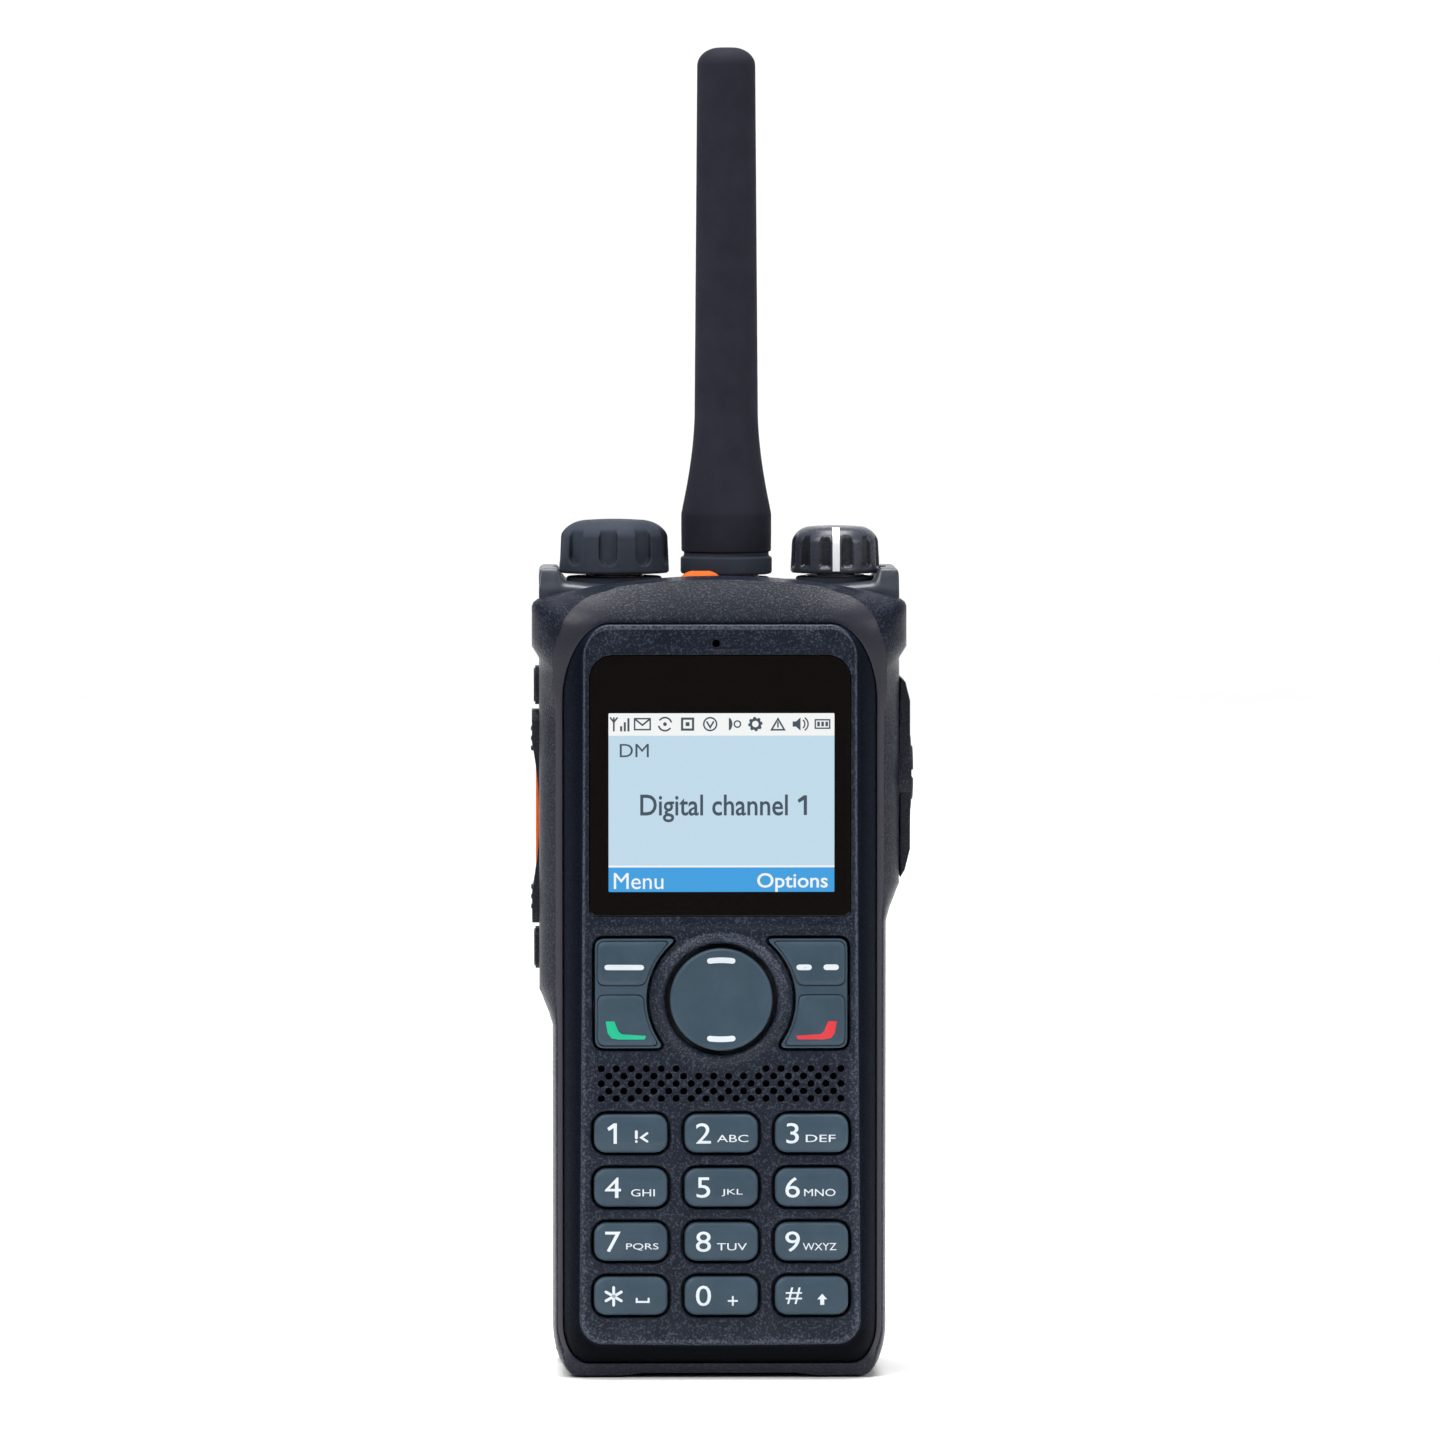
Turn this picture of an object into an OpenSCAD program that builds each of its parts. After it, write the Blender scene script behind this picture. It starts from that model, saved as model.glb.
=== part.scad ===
// Hand-held two-way radio with a full keypad, a colour display and a screw-on antenna.
// Units are millimetres. +Z is up, the keypad faces -Y, and the origin is the centre of the base.

/* [Body] */
// Width of the lower body
body_w = 50.8; // [50:0.1:51.6]
// Width across the side grips
grip_w = 54.8; // [54.4:0.1:55.2]
// Width across the top corner bumpers
bumper_w = 57; // [56.6:0.1:57.4]
// Height of the arched front edge at its middle
arch_h = 121.9; // [121.6:0.1:122.2]
// Height of the arch's ends, at the shoulders, mm
arch_end = 118.1; // [117.9:0.1:118.4]
// Height of the top deck
deck_h = 120.5; // [120.3:0.1:120.7]
// Height of the two horns that guard the knobs
horn_h = 122.5; // [122.2:0.1:122.9]
// Distance from the origin forward to the flat of the front panel
face_y = 17.5; // [17.3:0.1:17.7]
// Distance from the origin back to the battery's back face
back_y = 18; // [17.6:0.1:18.4]
// Plane between the housing and the battery
split_y = 3.5; // [3.4:0.05:3.6]

/* [Front panel] */
// Width of the front panel at its seam
panel_w = 48.7; // [48.5:0.1:48.9]
// Width of the panel's raised flat
flat_w = 40.6; // [40:0.1:41]
// Height of the raised flat's lower edge
flat_low = 5.6; // [5.2:0.1:6]
// Height of the panel's top edge
panel_top = 114.9; // [114.6:0.1:115.1]
// Side of the square display window
window_w = 39.6; // [39:0.1:40]
// Height of the window's centre
window_z = 90.4; // [90.2:0.1:90.6]

/* [Keys] */
// Width of a number key
key_w = 11.1; // [10.6:0.1:11.3]
// Height of a number key
key_h = 5.9; // [5.4:0.1:6]
// Sideways pitch of the number keys
key_pitch_x = 13.72; // [13.6:0.01:13.8]
// Upward pitch of the number keys
key_pitch_z = 8.24; // [8.2:0.01:8.3]
// Height of the lowest row's centre
key_row_z = 12.9; // [12.8:0.1:13]
// Gap between a key and the edge of its hole
key_gap = 0.38; // [0.3:0.01:0.42]
// How far the keys stand out of the front panel
key_proud = 0.8; // [0.5:0.1:0.9]
// Radius of the round navigation key
nav_r = 7.8; // [7.6:0.05:7.9]
// Height of the navigation key's centre
nav_z = 58; // [57.9:0.1:58.1]

/* [Speaker grille] */
// Pitch of the grille's holes along a row
grille_pitch = 2.27; // [2.2:0.01:2.28]
// Radius of one grille hole
grille_hole_r = 0.52; // [0.4:0.01:0.54]

/* [Knobs and antenna] */
// Radius of the channel knob
channel_r = 8.4; // [8.2:0.05:8.5]
// Radius of the volume knob
volume_r = 6.85; // [6.6:0.05:6.9]
// Height of the channel knob's top
channel_top = 130.2; // [129.8:0.1:130.6]
// Height of the volume knob's top
volume_top = 129.2; // [128.8:0.1:129.6]
// Height of the antenna's tip
antenna_top = 202.2; // [198:0.2:208]
// Largest radius of the antenna's foot
antenna_r = 7; // [6.8:0.05:7.1]

/* [Hidden] */
$fn = 64;
number_keys = ["1", "2", "3", "4", "5", "6", "7", "8", "9", "star", "0", "hash"];
key_names = [for (k = number_keys) str("key_", k)];
function_names = ["function_key_left", "function_key_right", "call_key", "end_key"];

seam_half = panel_w / 2;                 // half of the front panel at its seam
flat_half = flat_w / 2;                  // half of the raised flat
wall = 1.8;                              // thickness of the front panel's flat
inner_y = -face_y + wall;                // back of that flat
seam_y = -14.2;                          // front of the panel's skirt, at the seam
skirt_y = -9.6;                          // back of the panel's skirt
rim_y = -13.4;                           // front rim of the housing
cavity_half = seam_half + 0.12;          // half width of the housing's cavity
cavity_low = 2.2;                        // floor of that cavity
top_plane = 117;                         // plane between housing and top cover
bay_top = 106.8;                         // roof of the battery bay
nav_x = 0.15;                            // the keypad's centre line
hole_r = nav_r + 0.6;                    // the navigation key's hole
function_r = 11.35;                      // arc of the function keys round the navigation key
function_low = 50.6;                     // lower edge of the function keys
function_high = 67.2;                    // upper edge of the function keys
function_split = 59.4;                   // line between the upper and the lower function keys
mat_y = -14.2;                           // front of the keypad mat
channel_at = [-15.9, 1.5];               // the channel knob's axis, in X and Y
volume_at = [17.9, 1.5];                 // the volume knob's axis
antenna_at = [1.3, 4];                   // the antenna's axis
shaft_r = 3;                             // radius of both knob shafts
run = 0.06;                              // radial clearance of a running fit
clip_hole_r = 1.25;                      // radius of the belt clip's threaded holes
knob_low = 122;                        // lower edge of both knobs
side_y = -3;                             // middle of the side keys and of the accessory cover
grip_half = grip_w / 2;
bumper_half = bumper_w / 2;
screw_posts = [for (x = [-21.3, 21.3], z = [7, 56]) [x, z]];
cover_screw_z = 91.6;                    // the accessory cover's screw
cover_low = 75.8;
cover_high = 106.4;
battery_half = 25;
contact_places = [-5.1, -1.7, 1.7, 5.1]; // the battery's contacts, in X
charge_places = [-8, 0, 8];              // the charging contacts on the battery's back, in X
battery_front = split_y + 0.2;
clip_holes = [for (x = [-9, 9]) [x, 112]];  // the threaded holes for a belt clip

// An elliptical arc about c, with radii r = [across, up], from angle a to angle b.
function arc(c, r, a, b, n = 6) =
    [for (i = [0:n]) let (t = a + (b - a) * i / n) [c[0] + r[0] * cos(t), c[1] + r[1] * sin(t)]];

// The outline of a box from lo to hi, whose lower and upper corners have radii low and high.
function outline(lo, hi, low, high, n = 6) = concat(
    arc([hi[0] - low[0], lo[1] + low[1]], low, -90, 0, n),
    arc([hi[0] - high[0], hi[1] - high[1]], high, 0, 90, n),
    arc([lo[0] + high[0], hi[1] - high[1]], high, 90, 180, n),
    arc([lo[0] + low[0], lo[1] + low[1]], low, 180, 270, n));

// A rounded rectangle about c.
function pill(c, w, h, r, n = 6) = outline(c - [w, h] / 2, c + [w, h] / 2, [r, r], [r, r], n);

// An outline in X and Z, set at depth y.
function at_depth(points, y) = [for (p = points) [p[0], y, p[1]]];

// A solid through rings of equal length, from the front ring to the back one.
module loft(rings) {
    n = len(rings[0]);
    last = (len(rings) - 1) * n;
    polyhedron(
        points = [for (ring = rings) each ring],
        faces = concat(
            [[for (j = [n - 1:-1:0]) j]],
            [[for (j = [0:n - 1]) last + j]],
            [for (i = [0:len(rings) - 2], j = [0:n - 1])
                each let (a = i * n + j, b = i * n + (j + 1) % n) [[a, b, b + n], [a, b + n, a + n]]]));
}

// Extrudes a shape drawn in X and Z between two depths.
module between(front, back) {
    translate([0, back, 0]) rotate([90, 0, 0]) linear_extrude(height = back - front) children();
}

// Extrudes a shape drawn in Y and Z between two places along X.
module across(left, right) {
    translate([left, 0, 0]) rotate([90, 0, 90]) linear_extrude(height = right - left) children();
}

// A cylinder along Y between two depths, at [x, z].
module rod_y(at, r, front, back) {
    translate([at[0], back, at[1]]) rotate([90, 0, 0]) cylinder(r = r, h = back - front);
}

// A cylinder along X, at [y, z].
module rod_x(at, r, left, right) {
    translate([left, at[0], at[1]]) rotate([0, 90, 0]) cylinder(r = r, h = right - left);
}

// A box between two corners.
module block(lo, hi) {
    translate(lo) cube(hi - lo);
}

// ---- outlines of the front ----

function key_centre(i) = [nav_x + (i % 3 - 1) * key_pitch_x, key_row_z + (3 - floor(i / 3)) * key_pitch_z];

// One function key, grown by g. side is -1 on the left and 1 on the right, row is 0 below and 1 above.
module function_key_shape(side, row, g) {
    corner = 0.9;
    step = function_split + (row == 1 ? 1 : -1) * (0.6 - min(g, 0.35));
    low = row == 1 ? step : function_low - g;
    high = row == 1 ? function_high + g : step;
    translate([nav_x, 0]) mirror([side > 0 ? 1 : 0, 0])
        offset(r = corner, $fn = 32) offset(delta = -corner)
            difference() {
                polygon(outline([-19.1 - g, low], [-3, high], [1.2, 1.2], [1.2, 1.2]));
                translate([0, nav_z]) circle(r = function_r - g, $fn = 96);
            }
}

module front_openings() {
    for (i = [0:11]) polygon(pill(key_centre(i), key_w + 2 * key_gap, key_h + 2 * key_gap, 2.3));
    for (side = [-1, 1], row = [0, 1]) function_key_shape(side, row, key_gap);
}

// Five rows of grille holes, the top one broken by the navigation key's ring.
module grille_holes(front, back) {
    for (row = [0:4])
        for (i = [0:(row % 2 == 0 ? 16 : 15)])
            if (row < 4 || abs(i - 8) > 2.5)
                rod_y([nav_x + (i - (row % 2 == 0 ? 8 : 7.5)) * grille_pitch, 42.9 + row * grille_pitch / 2],
                      grille_hole_r, front, back);
}

// ---- housing ----

// The housing's outline at its front, with the base's softer corners.
function body_outline(half) =
    outline([-half, body_w / 2 - half], [half, top_plane], [3.8, 8.2], [4, 4]);

// One ring of the housing's arched top: its half width, its sides' height and the rise of its arch.
function arch_ring(half, side_z, rise, corner, y) = at_depth(concat(
    [[-half, 98], [half, 98]],
    arc([half - corner, side_z - corner], [corner, corner], 0, 70, 5),
    [for (i = [-7:7]) let (t = -i / 7.5) [(half - corner) * t, side_z + rise * (1 - t * t)]],
    arc([corner - half, side_z - corner], [corner, corner], 110, 180, 5)), y);

module grip(side, low) {
    half = body_w / 2 - 2;
    points = [[half, top_plane], [grip_half, top_plane], [grip_half, low + 5], [half + 1.8, low],
              [half, low]];
    mirror([side < 0 ? 1 : 0, 0, 0]) {
        between(-8.6, split_y) polygon(points);
        between(-9.8, -8.4) polygon([for (p = points) [min(p[0], grip_half - 0.9), p[1]]]);
    }
}

module corner_bumper(side) {
    points = [[24, 109], [grip_half, 109.4], [bumper_half, 111.2], [bumper_half, top_plane], [24, top_plane]];
    mirror([side < 0 ? 1 : 0, 0, 0]) between(-9.4, -1) polygon(points);
}

module main_housing() {
    color([0.11, 0.12, 0.14]) difference() {
        union() {
            loft([at_depth(body_outline(body_w / 2 - 0.8), rim_y),
                  at_depth(body_outline(body_w / 2), rim_y + 1),
                  at_depth(body_outline(body_w / 2), split_y)]);
            grip(-1, 54);
            grip(1, 70);
            for (side = [-1, 1]) corner_bumper(side);
            loft([arch_ring(seam_half + 0.4, 108, 7.4, 6, -14.9), arch_ring(26.2, 114.4, 5.4, 3, -12.2),
                  arch_ring(bumper_half - 0.2, arch_end, arch_h - arch_end, 2, -9.4),
                  arch_ring(bumper_half - 0.2, arch_end, arch_h - arch_end, 2, -8.5)]);
            translate([0, 0, bay_top]) linear_extrude(height = top_plane - bay_top)
                polygon(outline([-grip_half, -9], [grip_half, back_y - 0.3], [1, 1], [5, 5]));
        }
        // the cavity, open at the front and towards the battery
        between(-16, split_y + 0.01) polygon(outline([-cavity_half, cavity_low], [cavity_half, 107.2],
                                                     [5, 6], [2, 2]));
        between(-16, -8.5) polygon(outline([-cavity_half, 60], [cavity_half, panel_top + 0.12],
                                           [2, 2], [9.1, 9.1]));
        // the space under the top cover, with two bosses left for a belt clip's screws
        difference() {
            translate([0, 0, bay_top + 1.6]) linear_extrude(height = 20)
                polygon(outline([-25.4, -8.4], [25.4, back_y - 2], [1, 1], [3.6, 3.6]));
            for (p = clip_holes) rod_y(p, 2.8, 11, 17);
        }
        for (p = clip_holes) rod_y(p, clip_hole_r, 12, 20);
        // pockets for the side keys and the accessory contacts
        across(-grip_half - 1, -25.2) polygon(pill([side_y, 85], 9.4, 47, 2));
        across(25.4, grip_half + 1) polygon(pill([side_y, 81.3], 8.6, 8.2, 1));
        rod_x([side_y, cover_screw_z], 6.1, 26.5, grip_half + 1);
        rod_x([side_y, cover_screw_z], 1.2 + run, 24, 27);
        // the latch's notch in the front of the base
        between(-20, -10) polygon([[-15, -1], [-13.7, 0.45], [12.4, 0.45], [13.6, -1]]);
    }
}

module front_panel() {
    seam = outline([-seam_half, 2.4], [seam_half, panel_top], [4.6, 5.6], [9, 9]);
    flat = outline([-flat_half, flat_low], [flat_half, panel_top - 0.9], [3, 3], [5.4, 5.4]);
    soft = outline([-flat_half - 0.5, flat_low - 0.4], [flat_half + 0.5, panel_top - 0.5],
                   [3.3, 3.3], [5.8, 5.8]);
    color([0.13, 0.14, 0.17]) difference() {
        union() {
            difference() {
                loft([at_depth(flat, -face_y), at_depth(soft, -face_y + 0.4), at_depth(seam, seam_y),
                      at_depth(seam, skirt_y)]);
                between(inner_y, 0) polygon(outline([-20.2, 7], [20.2, 113], [2, 2], [4, 4]));
                between(-13.8, 0) polygon(outline([-22.9, 4.4], [22.9, 113], [3.4, 4], [7.6, 7.6]));
            }
            for (p = screw_posts) rod_y(p, 1.9, -14, -3.4);
        }
        between(-face_y - 1, 0) front_openings();
        rod_y([nav_x, nav_z], hole_r, -face_y - 1, 0);
        between(-face_y - 1, -face_y + 1.4)
            polygon(outline([-window_w / 2 - 0.1, window_z - window_w / 2 - 0.1],
                            [window_w / 2 + 0.1, window_z + window_w / 2 + 0.1], [1.3, 1.3], [3.1, 3.1]));
        between(-face_y - 1, 0) polygon(pill([0.4, 87.9], 36, 29, 0.5));
        grille_holes(-face_y - 1, 0);
        rod_y([-0.5, 112.1], 0.6, -face_y - 1, 0);
        for (p = screw_posts) rod_y(p, 0.95, -12, 0);
    }
}

module panel_gasket() {
    color([0.75, 0.3, 0.1]) between(skirt_y + 0.05, skirt_y + 0.95) difference() {
        polygon(outline([-seam_half + 0.1, 2.5], [seam_half - 0.1, panel_top - 6], [4.6, 5.6], [4, 4]));
        polygon(outline([-23.65, 3.2], [23.65, panel_top - 6.7], [4, 5], [3.4, 3.4]));
    }
}

module top_cover() {
    color([0.12, 0.13, 0.15]) difference() {
        union() {
            translate([0, 0, top_plane + 0.05]) linear_extrude(height = deck_h - top_plane - 0.05)
                polygon(outline([-grip_half, -8.4], [grip_half, back_y - 0.3], [1, 1], [5, 5]));
            for (side = [-1, 1]) mirror([side < 0 ? 1 : 0, 0, 0])
                between(-7.6, 11) polygon([[22.5, deck_h - 1], [grip_half, deck_h - 1],
                                           [grip_half, horn_h - 0.4], [grip_half - 0.4, horn_h], [25, horn_h],
                                           [24.2, horn_h - 1.1]]);
        }
        translate([0, 0, top_plane - 1]) linear_extrude(height = deck_h - top_plane - 1)
            polygon(outline([-25.4, -6.8], [25.4, back_y - 2], [1, 1], [3.6, 3.6]));
        for (p = [channel_at, volume_at]) translate([p[0], p[1], 110]) cylinder(r = 4.6, h = 20);
        for (c = [[channel_at, channel_r + 0.5], [volume_at, volume_r + 0.5]])
            translate([c[0][0], c[0][1], deck_h + 0.9]) cylinder(r = c[1], h = 20);
        translate([antenna_at[0], antenna_at[1], 110]) cylinder(r = 5.1, h = 20);
        translate([-2.8, -5.6, 110]) linear_extrude(height = 20) polygon(pill([0, 0], 6.4, 3.6, 1.7));
        translate([3, -5.6, 110]) cylinder(r = 1.3, h = 20);
    }
}

module chassis() {
    color([0.62, 0.63, 0.65]) difference() {
        union() {
            between(0.4, split_y - 0.1)
                polygon(outline([-cavity_half + 0.15, cavity_low + 0.15],
                                [cavity_half - 0.15, bay_top - 0.2], [4.8, 5.8], [2, 2]));
            for (z = [24, 48, 72, 96]) block([-21, -2.6, z], [21, 0.5, z + 1.6]);
            for (p = screw_posts) rod_y(p, 2.4, -3.3, 1);
        }
        for (p = screw_posts) {
            rod_y(p, 1.05, -5, 5);
            rod_y(p, 2, 2, 5);
        }
        between(-1, 5) polygon(pill([0, 14], 15, 6.4, 1));
    }
}

// ---- display, boards and speaker ----

module display_window() {
    color([0.02, 0.02, 0.02]) between(-face_y + 0.1, -face_y + 1.35)
        polygon(outline([-window_w / 2, window_z - window_w / 2], [window_w / 2, window_z + window_w / 2],
                        [1.2, 1.2], [3, 3]));
}

module lcd_panel() {
    color([0.75, 0.83, 0.88]) {
        block([-17.5, -15.9, 73.5], [18.3, -15.6, 102.3]);
        block([-18.5, -15.6, 72], [19.3, -14, 104]);
    }
}

module backlight_frame() {
    color([0.9, 0.9, 0.9]) difference() {
        block([-19.3, -14, 71.4], [20, -12.2, 105.6]);
        block([-16, -14.5, 74.5], [17, -13, 101]);
    }
}

module keypad_mat() {
    color([0.25, 0.26, 0.28]) difference() {
        between(mat_y, mat_y + 1) polygon(outline([-19.2, 7.6], [19.2, 69.6], [2, 2], [1, 1]));
        between(mat_y - 1, mat_y + 2) polygon(pill([nav_x, 45.2], 37.6, 6.2, 1));
    }
}

module keypad_board() {
    color([0.05, 0.3, 0.15]) difference() {
        between(-13.1, -12.1) polygon(outline([-19.2, 7.6], [19.2, 70.6], [2, 2], [1, 1]));
        between(-14, -11) polygon(pill([nav_x, 45.2], 37.6, 6.2, 1));
    }
    color([0.8, 0.8, 0.82]) for (i = [0:11]) rod_y(key_centre(i), 2, -12.1, -11.9);
}

module main_board() {
    color([0.05, 0.3, 0.15]) difference() {
        between(-4.6, -3.5) polygon(outline([-23.6, 3.2], [23.6, 106.8], [4, 5], [2, 2]));
        for (p = screw_posts) rod_y(p, 2.2, -6, 0);
    }
    color([0.1, 0.1, 0.1]) for (x = [-16, 16]) block([x - 4, -3.5, 30], [x + 4, -2.7, 38]);
    // sprung contacts that reach through the chassis to the battery
    color([0.9, 0.75, 0.3]) for (x = contact_places)
        block([x - 0.6, -4.6, 12], [x + 0.6, battery_front, 16]);
}

module shield_cans() {
    cans = [[-19, 58, 17, 22], [2, 58, 17, 22], [-19, 84, 38, 18], [-15, 21, 30, 11]];
    color([0.75, 0.76, 0.78]) for (b = cans)
        difference() {
            block([b[0], -6.9, b[1]], [b[0] + b[2], -4.65, b[1] + b[3]]);
            block([b[0] + 0.3, -6.6, b[1] + 0.3], [b[0] + b[2] - 0.3, -4, b[1] + b[3] - 0.3]);
        }
}

module speaker() {
    color([0.1, 0.1, 0.11]) difference() {
        between(-11.8, -9.4) polygon(pill([nav_x, 45.2], 35, 20, 5));
        between(-12.5, -10.6) polygon(pill([nav_x, 45.2], 31, 16, 4));
    }
    color([0.7, 0.7, 0.7]) rod_y([nav_x, 45.2], 8, -9.4, -7.2);
    color([0.3, 0.28, 0.25]) rod_y([nav_x, 45.2], 5, -11.6, -10.6);
}

module grille_cloth() {
    color([0.04, 0.04, 0.04]) between(inner_y + 0.02, inner_y + 0.32)
        polygon(pill([nav_x, 45.15], 38.4, 5.9, 1));
}

module microphone() {
    color([0.6, 0.55, 0.3]) rod_y([-0.5, 110.2], 2.6, -12.4, -10);
}

// ---- keys ----

// A cap that stands out of the panel, on a flange that holds it in.
module number_key(i) {
    c = key_centre(i);
    color([0.29, 0.35, 0.4]) {
        between(-face_y - key_proud + 0.25, inner_y + 0.2) polygon(pill(c, key_w, key_h, 2));
        between(-face_y - key_proud, -face_y - key_proud + 0.3)
            polygon(pill(c, key_w - 0.5, key_h - 0.5, 1.8));
        between(inner_y + 0.15, inner_y + 0.65) polygon(pill(c, key_w + 1.5, key_h + 1.6, 2.4));
    }
}

module function_key(side, row) {
    color([0.29, 0.35, 0.4]) {
        between(-face_y - key_proud, inner_y + 0.6) function_key_shape(side, row, 0);
        between(inner_y + 0.55, inner_y + 1.05) intersection() {
            function_key_shape(side, row, 0.8);
            polygon(pill([0, 58], 39.6, 19, 1));
        }
    }
}

module navigation_key() {
    dish = 30;                           // radius of the shallow dish in the key's face
    color([0.29, 0.35, 0.4]) difference() {
        union() {
            rod_y([nav_x, nav_z], nav_r, -face_y - 0.7, inner_y + 0.6);
            rod_y([nav_x, nav_z], nav_r - 0.35, -face_y - 1, -face_y - 0.6);
            rod_y([nav_x, nav_z], 9.2, inner_y + 0.55, inner_y + 1.05);
            rod_x([inner_y + 0.8, nav_z], 0.35, nav_x - 9.9, nav_x + 9.9);
        }
        translate([nav_x, -face_y - 1 - dish + 0.35, nav_z]) sphere(r = dish);
    }
}

module ptt_button() {
    color([0.1, 0.1, 0.11]) difference() {
        across(-28.5, -26.5) polygon(pill([side_y, 85.05], 8.6, 32.5, 2));
        // the finger's hollow, and the seat of the insert
        rod_y([-28.5 - 58.9, 85.05], 60, -10, 5, $fn = 720);
        across(-30, -27.05) polygon(pill([side_y, 84.8], 5.4, 17, 1.6));
    }
}

module ptt_insert() {
    color([0.85, 0.38, 0.12]) difference() {
        across(-27.75, -27.08) polygon(pill([side_y, 84.8], 5.2, 16.8, 1.5));
        rod_y([-27.75 - 99.8, 84.8], 100, -10, 5, $fn = 1440);
    }
}

module side_key(low, high) {
    color([0.09, 0.09, 0.1]) {
        across(-28, -26.5) polygon(pill([side_y, (low + high) / 2], 8.6, high - low, 1.6));
        across(-28.2, -28) polygon(pill([side_y, (low + high) / 2], 7.8, high - low - 0.8, 1.3));
    }
}

module side_switch_board() {
    color([0.05, 0.3, 0.15]) across(-24, -23.2) polygon(pill([-6.6, 84], 3.4, 42, 1));
    color([0.8, 0.8, 0.8]) for (z = [65, 78, 92, 103]) block([-24.3, -8.1, z - 1.6], [-24, -5.1, z + 1.6]);
}

// ---- knobs and antenna ----

// A fluted knob about the Z axis with a bore for its shaft, and room below for the shaft's nut.
module knob(r, top, flutes, flute_r) {
    difference() {
        rotate_extrude() polygon(concat(
            [[0, knob_low], [r - 0.3, knob_low], [r, knob_low + 0.4], [r, top - 2.3]],
            [for (i = [1:5]) [r - 2.3 * (1 - cos(i * 15)), top - 2.3 + 1.9 * sin(i * 15)]],
            [[0, top]]));
        for (i = [0:flutes - 1]) rotate([0, 0, i * 360 / flutes])
            translate([0, -r - flute_r * 0.55, knob_low + 1.2]) cylinder(r = flute_r, h = 20);
        translate([0, 0, knob_low - 1]) cylinder(r = 4.9, h = 2.4);
        translate([0, 0, knob_low - 1]) cylinder(r = shaft_r + 0.01, h = 6);
    }
}

module shaft(low) {
    color([0.7, 0.7, 0.72]) translate([0, 0, low]) cylinder(r = shaft_r, h = knob_low + 4.9 - low);
}

// The rotary part under the deck: body, bush and nut.
module control(width) {
    difference() {
        union() {
            translate([-width / 2, -width / 2, deck_h - 11.4]) cube([width, width, 7.6]);
            translate([0, 0, deck_h - 4.4]) cylinder(r = 4.5, h = 5.6);
            translate([0, 0, deck_h - 3.9]) cylinder(r = 6, h = 1.8, $fn = 6);
        }
        translate([0, 0, deck_h - 9.4]) cylinder(r = shaft_r + run, h = 20);
    }
}

module channel_knob() {
    color([0.05, 0.05, 0.06]) translate([channel_at[0], channel_at[1], 0]) rotate([0, 0, -7])
        knob(channel_r, channel_top, 9, 1.55);
}

module channel_shaft() {
    translate([channel_at[0], channel_at[1], 0]) shaft(deck_h - 8.4);
}

module channel_encoder() {
    color([0.6, 0.6, 0.62]) translate([channel_at[0], channel_at[1], 0]) control(12);
}

module volume_knob() {
    color([0.05, 0.05, 0.06]) difference() {
        translate([volume_at[0], volume_at[1], 0]) rotate([0, 0, 15]) knob(volume_r, volume_top, 12, 1.1);
        block([volume_at[0] - 0.71, volume_at[1] - 9, knob_low - 1],
              [volume_at[0] + 0.71, volume_at[1] - volume_r + 1.6, volume_top + 1]);
    }
}

module volume_pointer() {
    y = volume_at[1] - volume_r;
    color([0.95, 0.95, 0.95]) across(volume_at[0] - 0.7, volume_at[0] + 0.7)
        polygon([[y - 0.05, knob_low + 0.1], [y + 1.59, knob_low + 0.1], [y + 1.59, volume_top - 0.25],
                 [y + 1, volume_top - 0.45], [y + 0.3, volume_top - 1.2], [y - 0.05, volume_top - 2.2]]);
}

module volume_shaft() {
    translate([volume_at[0], volume_at[1], 0]) shaft(deck_h - 8.4);
}

module volume_control() {
    color([0.6, 0.6, 0.62]) translate([volume_at[0], volume_at[1], 0]) control(10);
}

module on_antenna() {
    translate([antenna_at[0], antenna_at[1], 0]) children();
}

// The moulded sheath: a straight foot, a flared neck and a slim, slightly tapered whip with a round tip.
module antenna_sheath() {
    foot = deck_h + 4.6;
    neck = antenna_r - 0.15;
    color([0.1, 0.1, 0.12]) on_antenna() difference() {
        rotate_extrude() polygon(concat(
            [[0, foot], [neck - 0.3, foot], [neck, foot + 0.3]],
            [for (i = [0:9]) let (t = i / 9)
                [4.85 + (neck - 4.85) * pow(1 - t, 1.7), foot + 6.2 + 14 * t]],
            arc([1, antenna_top - 2.8], [3.5, 2.8], 0, 90, 7),
            [[0, antenna_top]]));
        translate([0, 0, foot - 1]) cylinder(r = 2.8, h = 68);
    }
}

module antenna_stud() {
    color([0.8, 0.65, 0.35]) on_antenna() {
        translate([0, 0, deck_h - 6.4]) cylinder(r = shaft_r, h = 8);
        translate([0, 0, deck_h + 1.5]) cylinder(r = 4.9, h = 3.1);
        translate([0, 0, deck_h + 4.5]) cylinder(r = 2.3, h = 6);
    }
}

// The helical radiator, as a square wire wound on its own circle.
module antenna_coil() {
    turns = 9;
    steps = 12;
    low = deck_h + 11.6;
    pitch = 6;
    wire = 0.35;
    function coil_ring(i) = let (t = i / steps, a = 360 * t, z = low + pitch * t)
        [for (c = [[-1, -1], [1, -1], [1, 1], [-1, 1]])
            [(2 + wire * c[0]) * cos(a), (2 + wire * c[0]) * sin(a), z + wire * c[1]]];
    color([0.75, 0.5, 0.3]) on_antenna() loft([for (i = [0:turns * steps]) coil_ring(i)]);
}

module antenna_ring() {
    color([0.03, 0.03, 0.03]) on_antenna() rotate_extrude()
        translate([0, deck_h]) polygon([[4.95, 1.2], [antenna_r - 0.4, 1.2], [antenna_r, 1.6],
                                        [antenna_r, 3.7], [antenna_r - 0.5, 4.1],
                                        [antenna_r - 0.5, 4.55], [4.95, 4.55]]);
}

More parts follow.
